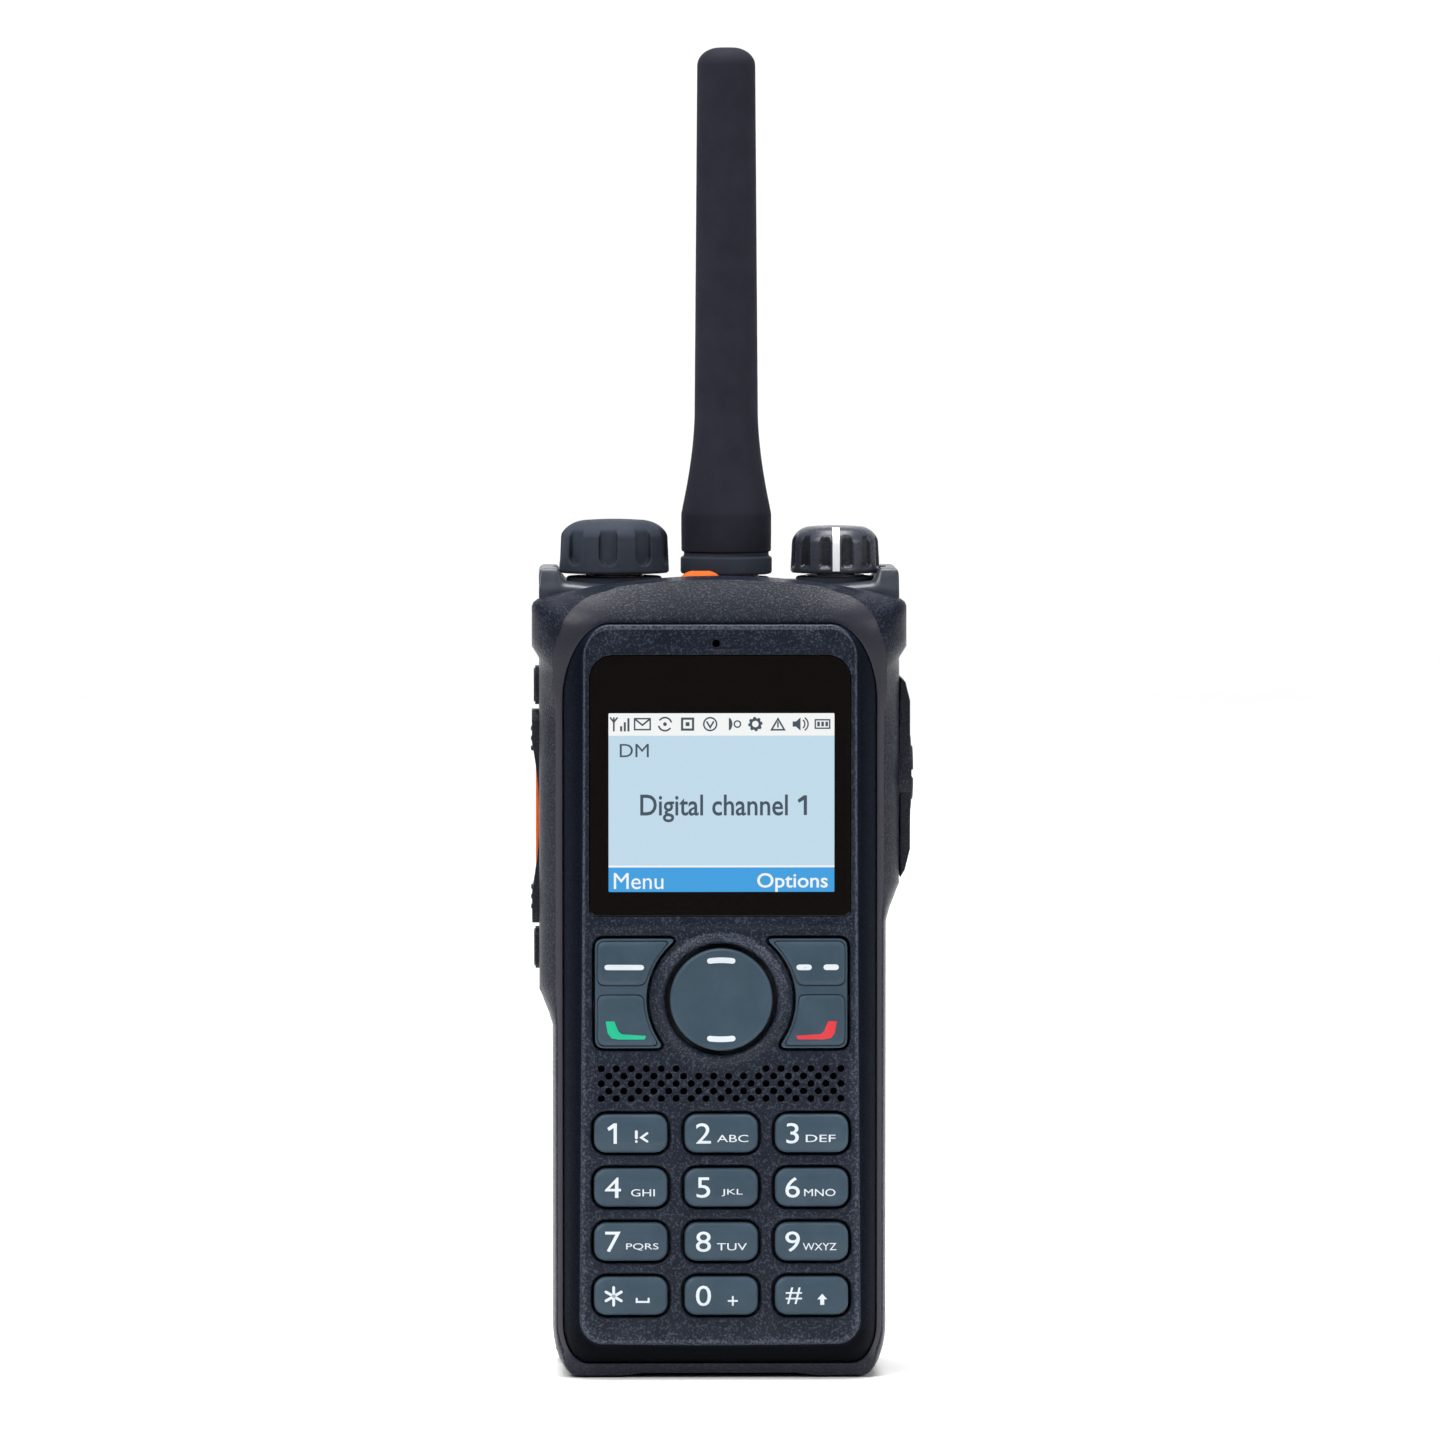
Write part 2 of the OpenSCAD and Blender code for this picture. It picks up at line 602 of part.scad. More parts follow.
module antenna_socket() {
    color([0.8, 0.65, 0.35]) on_antenna() difference() {
        union() {
            translate([0, 0, deck_h - 9.4]) cylinder(r = 5, h = 10.4);
            translate([0, 0, deck_h - 3.9]) cylinder(r = 6.4, h = 1.8, $fn = 6);
        }
        translate([0, 0, deck_h - 7.4]) cylinder(r = shaft_r + run, h = 10);
    }
}

module emergency_button() {
    color([0.9, 0.35, 0.08]) translate([-2.8, -5.6, 0]) {
        translate([0, 0, deck_h - 2]) linear_extrude(height = 3.6) polygon(pill([0, 0], 6, 3.2, 1.55));
        translate([0, 0, deck_h + 1.5]) linear_extrude(height = 0.5) polygon(pill([0, 0], 5, 2.2, 1.05));
    }
}

module status_light() {
    color([0.8, 0.85, 0.85]) translate([3, -5.6, deck_h - 2.8]) cylinder(r = 1.25, h = 3.5);
}

// ---- accessory side ----

module accessory_cover() {
    plate = [[27.6, cover_low], [28.3, cover_low + 1.2], [29.1, cover_low + 4.4],
             [29.1, cover_high - 3.6], [28.4, cover_high - 0.8], [27.6, cover_high]];
    color([0.1, 0.1, 0.11]) difference() {
        union() {
            between(side_y - 5, side_y + 5) polygon(plate);
            rod_x([side_y, cover_screw_z], 5.7, 26.6, 29.3);
        }
        rod_x([side_y, cover_screw_z], 4.3, 28.3, 31);
        rod_x([side_y, cover_screw_z], 1.2 + run, 20, 31);
    }
}

module cover_screw() {
    color([0.12, 0.12, 0.13]) difference() {
        union() {
            rod_x([side_y, cover_screw_z], 4.1, 28.4, 29.6);
            rod_x([side_y, cover_screw_z], 1.2, 24.4, 28.5);
        }
        block([28.9, side_y - 5, cover_screw_z - 0.6], [31, side_y + 5, cover_screw_z + 0.6]);
    }
}

module accessory_contacts() {
    color([0.08, 0.08, 0.08]) across(25.45, 26.5) polygon(pill([side_y, 81.3], 8.4, 8, 0.9));
    color([0.9, 0.75, 0.35]) for (y = [-2.7, -0.9, 0.9, 2.7], z = [-2.6, 0, 2.6])
        rod_x([side_y + y, 81.3 + z], 0.6, 26.45, 26.65);
}

// ---- battery ----

module battery_cover() {
    color([0.1, 0.1, 0.12]) difference() {
        linear_extrude(height = bay_top - 0.3)
            polygon(outline([-battery_half, 6], [battery_half, back_y], [1, 1], [5, 5]));
        translate([0, 0, 5.6]) linear_extrude(height = bay_top - 7.4)
            polygon(outline([-battery_half + 1.5, 5], [battery_half - 1.5, back_y - 1.6],
                            [1, 1], [3.6, 3.6]));
        // the latch's slot and the grip grooves
        block([-12.6, 7.9, -1], [12.6, 14.1, 4]);
        block([-9, 14, -1], [9, 20, 4]);
        for (x = charge_places) rod_y([x, 22], 1.7, back_y - 0.65, back_y + 1);
        for (z = [8, 11, 14, 17]) for (side = [-1, 1])
            block([side < 0 ? -27 : battery_half - 0.5, 9, z],
                  [side < 0 ? 0.5 - battery_half : 27, 15, z + 1.2]);
    }
}

module battery_plate() {
    color([0.13, 0.13, 0.14]) difference() {
        between(battery_front, 6) polygon(outline([-battery_half, 0], [battery_half, bay_top - 0.3],
                                                  [3.8, 8.2], [3, 3]));
        for (x = contact_places) block([x - 0.9, 3, 11.6], [x + 0.9, 4.4, 16.4]);
    }
}

module battery_cells() {
    color([0.25, 0.45, 0.6]) for (z = [6, 54]) between(6.2, 16) polygon(pill([0, z + 22.5], 42, 45, 2));
}

module battery_contacts() {
    color([0.9, 0.75, 0.35]) {
        for (x = contact_places) block([x - 0.8, battery_front + 0.3, 11.8], [x + 0.8, 4.35, 16.2]);
        for (x = charge_places) rod_y([x, 22], 1.6, back_y - 0.6, back_y - 0.1);
    }
}

module battery_latch() {
    color([0.08, 0.08, 0.09]) {
        block([-12.3, 8.2, 0.5], [12.3, 13.8, 2.2]);
        block([-8.7, 13.7, 0.5], [8.7, 17.8, 2.2]);
    }
}

// The housing's four screws.
module screws() {
    color([0.65, 0.65, 0.67]) {
        for (p = screw_posts) {
            rod_y(p, 0.94, -9, 2.1);
            rod_y(p, 1.8, 2.05, split_y - 0.1);
        }
    }
}

main_housing();
front_panel();
panel_gasket();
top_cover();
chassis();
display_window();
lcd_panel();
backlight_frame();
keypad_mat();
keypad_board();
main_board();
shield_cans();
speaker();
grille_cloth();
microphone();
for (i = [0:11]) number_key(i);
function_key(-1, 1);  // function_key_left
function_key(1, 1);  // function_key_right
function_key(-1, 0);  // call_key
function_key(1, 0);  // end_key
navigation_key();
channel_knob();
channel_shaft();
channel_encoder();
volume_knob();
volume_pointer();
volume_shaft();
volume_control();
antenna_sheath();
antenna_stud();
antenna_coil();
antenna_ring();
antenna_socket();
emergency_button();
status_light();
ptt_button();
ptt_insert();
side_key(102.2, 107.9);  // side_key_upper
side_key(61.9, 68);  // side_key_lower
side_switch_board();
accessory_cover();
cover_screw();
accessory_contacts();
battery_cover();
battery_plate();
battery_cells();
battery_contacts();
battery_latch();
screws();
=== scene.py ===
import math

import bmesh
import bpy
import numpy as np
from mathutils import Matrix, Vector
from mathutils.bvhtree import BVHTree
from mathutils.geometry import delaunay_2d_cdt, tessellate_polygon


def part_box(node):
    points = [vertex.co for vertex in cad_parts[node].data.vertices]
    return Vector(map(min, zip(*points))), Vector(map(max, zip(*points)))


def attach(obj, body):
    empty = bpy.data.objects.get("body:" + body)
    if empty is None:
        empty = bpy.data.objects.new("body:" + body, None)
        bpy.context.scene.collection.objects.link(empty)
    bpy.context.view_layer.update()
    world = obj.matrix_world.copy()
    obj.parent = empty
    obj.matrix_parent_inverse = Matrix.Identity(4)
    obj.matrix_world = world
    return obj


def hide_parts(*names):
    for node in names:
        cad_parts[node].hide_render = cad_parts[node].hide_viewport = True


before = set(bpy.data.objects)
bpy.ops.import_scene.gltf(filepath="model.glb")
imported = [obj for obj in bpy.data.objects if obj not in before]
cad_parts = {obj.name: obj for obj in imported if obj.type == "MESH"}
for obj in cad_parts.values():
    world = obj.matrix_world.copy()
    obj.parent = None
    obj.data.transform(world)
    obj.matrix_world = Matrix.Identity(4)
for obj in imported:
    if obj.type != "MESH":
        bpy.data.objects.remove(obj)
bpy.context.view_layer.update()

# Shapes are drawn in millimetres in the frame's axes and scaled to metres as they become meshes.
# The keypad faces -Y. "Depth" below is a Y value, so the front is at -17.5 and further back is greater.
MM = 0.001
PIXEL = 0.22                                    # pitch of the display's pixels
PAINTED_REFLECTION_BAND = (0.043, 0.039, 0.049)               # painted reflection: the pale sheen on the shell's smooth band beside the panel


def place(node):
    """The lowest and highest corners of a CAD node, in millimetres."""
    low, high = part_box(node)
    return np.array(low) / MM, np.array(high) / MM


def middle_of(node, axes):
    """The middle of a CAD node's box along two axes, such as "xz", in millimetres."""
    low, high = place(node)
    return ((low + high) / 2)[["xyz".index(axis) for axis in axes]]


# ------------------------------------------------------------------ materials

def new_material(name):
    """A node material, with its tree, its shader and its object coordinates in millimetres."""
    material = bpy.data.materials.new(name)
    material.use_nodes = True
    tree = material.node_tree
    shader = tree.nodes["Principled BSDF"]
    coordinates = tree.nodes.new("ShaderNodeTexCoord")
    scaled = tree.nodes.new("ShaderNodeVectorMath")
    scaled.operation = "SCALE"
    scaled.inputs["Scale"].default_value = 1 / MM
    tree.links.new(coordinates.outputs["Object"], scaled.inputs[0])
    return material, tree, shader, scaled.outputs[0]


def noise(tree, where, scale, detail=2, roughness=0.5):
    node = tree.nodes.new("ShaderNodeTexNoise")
    node.inputs["Scale"].default_value = scale
    node.inputs["Detail"].default_value = detail
    node.inputs["Roughness"].default_value = roughness
    tree.links.new(where, node.inputs["Vector"])
    return node.outputs["Fac"]


def spread(tree, value, low, high, start=0.3, end=0.7):
    """Maps a value's range start..end to low..high."""
    node = tree.nodes.new("ShaderNodeMapRange")
    node.inputs["From Min"].default_value = start
    node.inputs["From Max"].default_value = end
    node.inputs["To Min"].default_value = low
    node.inputs["To Max"].default_value = high
    tree.links.new(value, node.inputs["Value"])
    return node.outputs["Result"]


def mixed(tree, fac, first, second):
    """A colour between two colours, by fac. Each colour is a tuple or a socket."""
    node = tree.nodes.new("ShaderNodeMix")
    node.data_type = "RGBA"
    tree.links.new(fac, node.inputs["Factor"])
    for socket, colour in ((node.inputs["A"], first), (node.inputs["B"], second)):
        if isinstance(colour, tuple):
            socket.default_value = (*colour, 1)
        else:
            tree.links.new(colour, socket)
    return node.outputs["Result"]


def combined(tree, operation, first, second=0):
    """The result of a math node; each value is a number or a socket."""
    node = tree.nodes.new("ShaderNodeMath")
    node.operation = operation
    for socket, value in ((node.inputs[0], first), (node.inputs[1], second)):
        if isinstance(value, (int, float)):
            socket.default_value = value
        else:
            tree.links.new(value, socket)
    return node.outputs[0]


def edge_mask(tree, radius):
    """1 along convex and concave edges, 0 on flats."""
    bevel = tree.nodes.new("ShaderNodeBevel")
    bevel.samples = 4
    bevel.inputs["Radius"].default_value = radius * MM
    geometry = tree.nodes.new("ShaderNodeNewGeometry")
    dot = tree.nodes.new("ShaderNodeVectorMath")
    dot.operation = "DOT_PRODUCT"
    tree.links.new(bevel.outputs["Normal"], dot.inputs[0])
    tree.links.new(geometry.outputs["Normal"], dot.inputs[1])
    return spread(tree, dot.outputs["Value"], 1, 0, 0.8, 1.0)


def add_bump(tree, shader, height, distance, strength=1.0):
    bump = tree.nodes.new("ShaderNodeBump")
    bump.inputs["Distance"].default_value = distance * MM
    if isinstance(strength, (int, float)):
        bump.inputs["Strength"].default_value = strength
    else:
        tree.links.new(strength, bump.inputs["Strength"])
    tree.links.new(height, bump.inputs["Height"])
    tree.links.new(bump.outputs["Normal"], shader.inputs["Normal"])


def painted(tree, name):
    """A value painted on a mesh's points; 0 where a mesh has none."""
    node = tree.nodes.new("ShaderNodeAttribute")
    node.attribute_name = name
    return node.outputs["Fac"]


def dimmed(colour, factor):
    return tuple(c * factor for c in colour)


def grained_plastic(name, colour, light, roughness=0.5, grain=3.2, depth=0.05, wear=0.5, areas=False,
                    specular=0.15, speck=0.6):
    """Moulded plastic with a spark-eroded grain: pits of about 1/grain mm and depth mm, peaks paler by speck,
    and edges worn paler. With areas, a mesh's masks make it smooth and add painted shade, painted highlights
    and a painted reflection."""
    material, tree, shader, where = new_material(name)
    fine = noise(tree, where, grain, 3, 0.6)
    blotch = noise(tree, where, 0.11, 3, 0.55)
    peaks = spread(tree, fine, 0, speck, 0.52, 0.66)
    shade = combined(tree, "ADD", peaks, spread(tree, blotch, 0, 0.07))
    patches = spread(tree, noise(tree, where, 1.4, 2), 0, wear, 0.4, 0.7)
    worn = combined(tree, "MULTIPLY", edge_mask(tree, 0.25), patches)
    amount = combined(tree, "MAXIMUM", shade, worn)
    strength, base = 1.0, colour
    if areas:
        smooth_area = painted(tree, "smooth_area")
        keep = combined(tree, "SUBTRACT", 1.0, smooth_area)
        level = combined(tree, "MULTIPLY", smooth_area, 0.06)
        amount = combined(tree, "ADD", combined(tree, "MULTIPLY", amount, keep), level)
        # painted highlight: where a mesh paints it, the grain's peaks are lifted towards the pale colour
        streaks = spread(tree, fine, 0.1, 1.0, 0.38, 0.66)
        painted_highlight = combined(tree, "MULTIPLY", painted(tree, "painted_highlight_area"), streaks)
        amount = combined(tree, "ADD", amount, painted_highlight)
        # painted shade: where a mesh paints it, the base colour and the grain's pale peaks are darkened, as
        # on the slope down to the rim
        painted_shade = painted(tree, "painted_shade_area")
        amount = combined(tree, "MULTIPLY", amount, spread(tree, painted_shade, 1.0, 0.12, 0, 1))
        base = mixed(tree, painted_shade, colour, dimmed(colour, 0.15))
        # painted reflection: where a mesh paints it, the colour turns to a pale purple-grey sheen, as on the
        # band beside the panel
        base = mixed(tree, painted(tree, "painted_reflection_area"), base, PAINTED_REFLECTION_BAND)
        strength = spread(tree, keep, 0.06, 1.0, 0, 1)
    tree.links.new(mixed(tree, amount, base, light), shader.inputs["Base Color"])
    tree.links.new(spread(tree, fine, roughness + 0.1, roughness - 0.12), shader.inputs["Roughness"])
    shader.inputs["Specular IOR Level"].default_value = specular
    add_bump(tree, shader, fine, depth, strength)
    return material


def satin_plastic(name, colour, light, roughness=0.4, wear=0.35, depth=0.008, coat=0.0, specular=0.3):
    """A smoother moulding with a faint orange-peel surface and slightly worn edges."""
    material, tree, shader, where = new_material(name)
    # painted shade: darker where a mesh paints it, as on the walls of the knobs' flutes
    base = mixed(tree, painted(tree, "painted_shade_area"), colour, dimmed(colour, 0.12))
    peel = noise(tree, where, 1.6, 3, 0.6)
    fine = noise(tree, where, 9, 2, 0.5)
    worn = combined(tree, "MULTIPLY", edge_mask(tree, 0.2), spread(tree, peel, 0.1, wear, 0.35, 0.65))
    shade = combined(tree, "ADD", spread(tree, noise(tree, where, 0.25, 3), 0, 0.16), worn)
    tree.links.new(mixed(tree, shade, base, light), shader.inputs["Base Color"])
    tree.links.new(spread(tree, peel, roughness + 0.06, roughness - 0.06), shader.inputs["Roughness"])
    shader.inputs["Specular IOR Level"].default_value = specular
    shader.inputs["Coat Weight"].default_value = coat
    shader.inputs["Coat Roughness"].default_value = 0.15
    add_bump(tree, shader, combined(tree, "ADD", peel, fine), depth)
    return material


def metal(name, colour, roughness=0.3):
    """Metal with fine streaks of a darker tone."""
    material, tree, shader, where = new_material(name)
    brushed = noise(tree, where, 5, 4, 0.7)
    shader.inputs["Metallic"].default_value = 1.0
    streaks = mixed(tree, spread(tree, brushed, 0, 1), dimmed(colour, 0.75), colour)
    tree.links.new(streaks, shader.inputs["Base Color"])
    tree.links.new(spread(tree, brushed, roughness + 0.12, roughness - 0.08), shader.inputs["Roughness"])
    add_bump(tree, shader, brushed, 0.004)
    return material


def lit(name, colour):
    """A lit display area under its glossy glass, with the faint grid of its pixels in the unlit colour."""
    material, tree, shader, where = new_material(name)
    parts = tree.nodes.new("ShaderNodeSeparateXYZ")
    tree.links.new(where, parts.inputs[0])
    lines = []
    for axis in ("X", "Z"):
        cell = combined(tree, "FRACT", combined(tree, "MULTIPLY", parts.outputs[axis], 1 / PIXEL))
        lines.append(combined(tree, "GREATER_THAN", cell, 0.14))
    inside_pixel = combined(tree, "MULTIPLY", lines[0], lines[1])
    unlit = mixed(tree, inside_pixel, (0.004, 0.004, 0.004), dimmed(colour, 0.05))
    tree.links.new(unlit, shader.inputs["Base Color"])
    tree.links.new(spread(tree, noise(tree, where, 0.4, 2), 0.08, 0.16), shader.inputs["Roughness"])
    shader.inputs["Emission Color"].default_value = (*colour, 1)
    shader.inputs["Emission Strength"].default_value = 1.0
    return material


CHARCOAL = (0.0025, 0.0042, 0.0105)
CHARCOAL_LIGHT = (0.05, 0.058, 0.082)
shell = grained_plastic("shell_plastic", CHARCOAL, (0.056, 0.066, 0.092), 0.36, 3.2, 0.06, 0.5,
                        areas=True, speck=0.65)
panel = grained_plastic("panel_plastic", (0.0042, 0.0068, 0.0142), (0.068, 0.08, 0.108), 0.36, 3.4, 0.06, 0.6,
                        areas=True, speck=0.58)
# painted shade: a copy of the panel's plastic with a smoother grain and darker tones, for the slope down to
# the rim that faces down
panel_smooth_shaded = grained_plastic("panel_smooth_shaded_plastic", (0.0035, 0.006, 0.013), (0.014, 0.019, 0.031), 0.5,
                               3.6, 0.006, 0.2, areas=True, specular=0.04)
rear = grained_plastic("rear_plastic", CHARCOAL, CHARCOAL_LIGHT, 0.4, 3.0, 0.05, 0.4)
side_rubber = grained_plastic("side_rubber", (0.008, 0.01, 0.016), (0.06, 0.065, 0.08), 0.5, 4.0, 0.03, 0.5)
black_cloth = grained_plastic("black_cloth", (0.003,) * 3, (0.012,) * 3, 0.8, 5.0, 0.05, 0.2)

deck = satin_plastic("deck_plastic", (0.022, 0.026, 0.036), (0.1, 0.112, 0.14), 0.34, 0.5, coat=0.15)
key_plastic = satin_plastic("key_plastic", (0.03, 0.052, 0.074), (0.085, 0.125, 0.165), 0.42, 0.5,
                            specular=0.2)
knob_rubber = satin_plastic("knob_rubber", (0.03, 0.036, 0.05), (0.08, 0.092, 0.115), 0.6, 0.5, specular=0.05)
volume_rubber = satin_plastic("volume_rubber", (0.026, 0.031, 0.044), (0.1, 0.11, 0.14), 0.3, 0.6,
                              specular=0.4)
antenna_rubber = satin_plastic("antenna_rubber", (0.018, 0.0185, 0.027), (0.045, 0.047, 0.06), 0.6, 0.3,
                               specular=0.03)
orange = satin_plastic("orange_plastic", (0.62, 0.1, 0.015), (0.75, 0.18, 0.04), 0.65, 0.3, specular=0.05)
window_black = satin_plastic("window_black", (0.003, 0.0022, 0.0018), (0.005, 0.004, 0.0035), 0.1, 0.2, 0.001,
                             specular=0.25)
ink = satin_plastic("legend_white", (0.78, 0.8, 0.82), (0.9, 0.9, 0.9), 0.45, 0.2, 0.002)
key_ink = satin_plastic("key_legend", (0.56, 0.61, 0.65), (0.68, 0.72, 0.75), 0.5, 0.2, 0.002)
green_ink = satin_plastic("legend_green", (0.005, 0.38, 0.2), (0.02, 0.5, 0.28), 0.45, 0.2, 0.002)
red_ink = satin_plastic("legend_red", (0.55, 0.025, 0.035), (0.7, 0.07, 0.08), 0.45, 0.2, 0.002)
board_green = satin_plastic("solder_mask", (0.008, 0.08, 0.03), (0.02, 0.16, 0.06), 0.35)
silicone = satin_plastic("silicone", (0.05, 0.055, 0.065), (0.1, 0.11, 0.12), 0.6)
seal_orange = satin_plastic("seal_orange", (0.4, 0.09, 0.02), (0.6, 0.2, 0.08), 0.6)
cell_wrap = satin_plastic("cell_wrap", (0.04, 0.12, 0.26), (0.1, 0.2, 0.35), 0.35)
white_frame = satin_plastic("white_frame", (0.75, 0.76, 0.76), (0.85, 0.85, 0.85), 0.5)
light_pipe = satin_plastic("light_pipe", (0.5, 0.55, 0.56), (0.8, 0.83, 0.83), 0.15, coat=0.5)

steel = metal("steel", (0.5, 0.5, 0.52))
aluminium = metal("cast_aluminium", (0.55, 0.56, 0.58), 0.45)
brass = metal("brass", (0.75, 0.52, 0.22))
copper = metal("copper", (0.75, 0.36, 0.16))
gold = metal("gold_plate", (0.42, 0.28, 0.1), 0.38)

screen_blue = lit("screen_blue", (0.51, 0.67, 0.78))
screen_white = lit("screen_white", (0.85, 0.87, 0.86))
screen_bar_blue = lit("screen_bar_blue", (0.055, 0.33, 0.7))
screen_ink = lit("screen_ink", (0.06, 0.085, 0.11))


# ------------------------------------------------------------------ outlines

def arc(centre, radii, start, end, steps):
    """Points on an elliptical arc, angles in degrees."""
    angles = np.radians(np.linspace(start, end, steps + 1))
    return [(centre[0] + radii[0] * math.cos(a), centre[1] + radii[1] * math.sin(a)) for a in angles]


def round_box(low, high, low_r, high_r, steps=8, sides=0, ends=0):
    """A box from low to high with elliptical corners, anticlockwise from the lower right one.
    sides and ends are the numbers of points added along its upright and its level edges."""
    corners = [arc((high[0] - low_r[0], low[1] + low_r[1]), low_r, -90, 0, steps),
               arc((high[0] - high_r[0], high[1] - high_r[1]), high_r, 0, 90, steps),
               arc((low[0] + high_r[0], high[1] - high_r[1]), high_r, 90, 180, steps),
               arc((low[0] + low_r[0], low[1] + low_r[1]), low_r, 180, 270, steps)]
    points = []
    for i, extra in enumerate((sides, ends, sides, ends)):
        start, end = np.array(corners[i][-1]), np.array(corners[(i + 1) % 4][0])
        points += corners[i]
        points += [tuple(start + (end - start) * (k + 1) / (extra + 1)) for k in range(extra)]
    return points


def pill(centre, width, height, radius, steps=8):
    """A box about a centre, with round corners."""
    centre, half = np.array(centre), np.array([width, height]) / 2
    return round_box(centre - half, centre + half, (radius, radius), (radius, radius), steps)


def square(low, high):
    return [tuple(low), (high[0], low[1]), tuple(high), (low[0], high[1])]


def circle(centre, radius, steps=24):
    return arc(centre, (radius, radius), 0, 360 - 360 / steps, steps - 1)


def smooth(value, start, end):
    """0 before start, 1 after end, and a smooth turn between."""
    t = np.clip((np.asarray(value, float) - start) / (end - start), 0, 1)
    return t * t * (3 - 2 * t)


def outward(outline):
    """Unit normals of a closed anticlockwise outline at its points, lengthened at corners."""
    points = np.array(outline, float)
    ahead = np.roll(points, -1, axis=0) - points
    ahead /= np.maximum(np.linalg.norm(ahead, axis=1, keepdims=True), 1e-9)
    normals = np.stack([ahead[:, 1], -ahead[:, 0]], axis=1)
    both = normals + np.roll(normals, 1, axis=0)
    return both / np.maximum(np.sum(both ** 2, axis=1, keepdims=True) / 2, 0.4)


def grown(outline, distance):
    """A closed outline moved outward by a distance, or inward by a negative one."""
    return [tuple(p) for p in np.array(outline, float) + outward(outline) * distance]


# ------------------------------------------------------------------ meshes

BEVEL_ANGLE = math.radians(32)                  # edges that turn more than this are rounded
FLAT_ANGLE = math.radians(0.8)                  # faces that turn less than this are one flat


def linked(name, data):
    """A new object in the scene."""
    obj = bpy.data.objects.new(name, data)
    bpy.context.scene.collection.objects.link(obj)
    return obj


def bevel_edges(obj, width):
    bevel = obj.modifiers.new("rounded_edges", "BEVEL")
    bevel.width = width * MM
    bevel.segments = 3
    bevel.limit_method = "ANGLE"
    bevel.angle_limit = BEVEL_ANGLE


def even_normals(obj):
    obj.modifiers.new("weighted_normals", "WEIGHTED_NORMAL").keep_sharp = True


def plane_cut(work, point, normal, dist, **options):
    """Cuts everything in a bmesh with a plane."""
    everything = work.verts[:] + work.edges[:] + work.faces[:]
    bmesh.ops.bisect_plane(work, geom=everything, plane_co=point, plane_no=normal, dist=dist, **options)


def build(name, shape, material, body, stands_for=(), facing=None, crease=38, masks=None):
    """A piece from (points in millimetres, faces). It rides on a body and may stand for CAD nodes.
    facing is the way an open shell's faces look. Edges sharper than crease degrees stay sharp.
    masks are named lists of values, one for each point, that its material reads."""
    points, faces = shape
    mesh = bpy.data.meshes.new(name)
    mesh.from_pydata([tuple(float(c) * MM for c in p) for p in points], [], [tuple(f) for f in faces])
    mesh.materials.append(material)
    for mask, values in (masks or {}).items():
        mesh.attributes.new(mask, "FLOAT", "POINT").data.foreach_set("value", np.array(values, np.float32))
    cleaner = bmesh.new()
    cleaner.from_mesh(mesh)
    bmesh.ops.remove_doubles(cleaner, verts=cleaner.verts, dist=0.0005 * MM)
    bmesh.ops.recalc_face_normals(cleaner, faces=cleaner.faces)
    if facing is not None:
        total = sum((f.normal * f.calc_area() for f in cleaner.faces), Vector())
        if total.dot(Vector(facing)) < 0:
            bmesh.ops.reverse_faces(cleaner, faces=cleaner.faces)
    cleaner.to_mesh(mesh)
    cleaner.free()
    mesh.polygons.foreach_set("use_smooth", [True] * len(mesh.polygons))
    mesh.set_sharp_from_angle(angle=math.radians(crease))
    obj = linked(name, mesh)
    even_normals(obj)
    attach(obj, body)
    if stands_for:
        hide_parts(*stands_for)


def skin(rings):
    """Points and faces of a skin through closed rings of equal length."""
    count = len(rings[0])
    points = [tuple(p) for ring in rings for p in ring]
    faces = []
    for start in range(0, len(points) - count, count):
        for j in range(count):
            a, b = start + j, start + (j + 1) % count
            faces.append((a, b, b + count, a + count))
    return points, faces


def loft(rings):
    """Points and faces of a solid through closed rings of equal length."""
    points, faces = skin(rings)
    count = len(rings[0])
    first, last = range(count - 1, -1, -1), range(len(points) - count, len(points))
    return points, faces + [tuple(first), tuple(last)]


def joined(*parts):
    """Several (points, faces) pairs as one."""
    points, faces = [], []
    for more_points, more_faces in parts:
        shift = len(points)
        points += [tuple(p) for p in more_points]
        faces += [tuple(i + shift for i in f) for f in more_faces]
    return points, faces


def at_depth(outline, depth):
    return [(x, depth, z) for x, z in outline]


def fillet(radius, steps=3):
    """(inset, drop) pairs of a quarter round, from the wall's top edge in to the flat."""
    return [(radius * (1 - math.cos(a)), radius * (1 - math.sin(a)))
            for a in np.linspace(0, math.pi / 2, steps + 1)]


def inside(points, polygon):
    """Whether each of the points lies in a closed polygon."""
    points, polygon = np.asarray(points, float), np.asarray(polygon, float)
    result = np.zeros(len(points), bool)
    for (x0, z0), (x1, z1) in zip(polygon, np.roll(polygon, -1, axis=0)):
        crosses = (z0 > points[:, 1]) != (z1 > points[:, 1])
        with np.errstate(divide="ignore", invalid="ignore"):
            at = (x1 - x0) * (points[:, 1] - z0) / (z1 - z0) + x0
        result ^= crosses & (points[:, 0] < at)
    return result


def pierced_sheet(outer, rings, holes):
    """A sheet inside the outer ring. rings and outer are (outline, depth) pairs; holes are bare outlines.
    The sheet passes through every ring at its depth, and faces inside a hole are left out."""
    flat, depth, edges = [], [], []
    for outline, level in [outer] + rings:
        start = len(flat)
        flat += [Vector(p) for p in outline]
        depth += [level] * len(outline) if np.isscalar(level) else list(level)
        edges += [(start + i, start + (i + 1) % len(outline)) for i in range(len(outline))]
    points, _, faces, sources, _, _ = delaunay_2d_cdt(flat, edges, [], 0, 1e-5)
    centres = np.array([np.mean([points[i] for i in f], axis=0) for f in faces])
    keep = inside(centres, outer[0])
    for hole in holes:
        low, high = np.min(hole, axis=0), np.max(hole, axis=0)
        near = np.all((centres > low) & (centres < high), axis=1)
        keep[near] &= ~inside(centres[near], hole)
    solid = [(p[0], depth[s[0]], p[1]) for p, s in zip(points, sources)]
    return solid, [f for f, k in zip(faces, keep) if k]


# ------------------------------------------------------------------ flat shapes, marks and letters

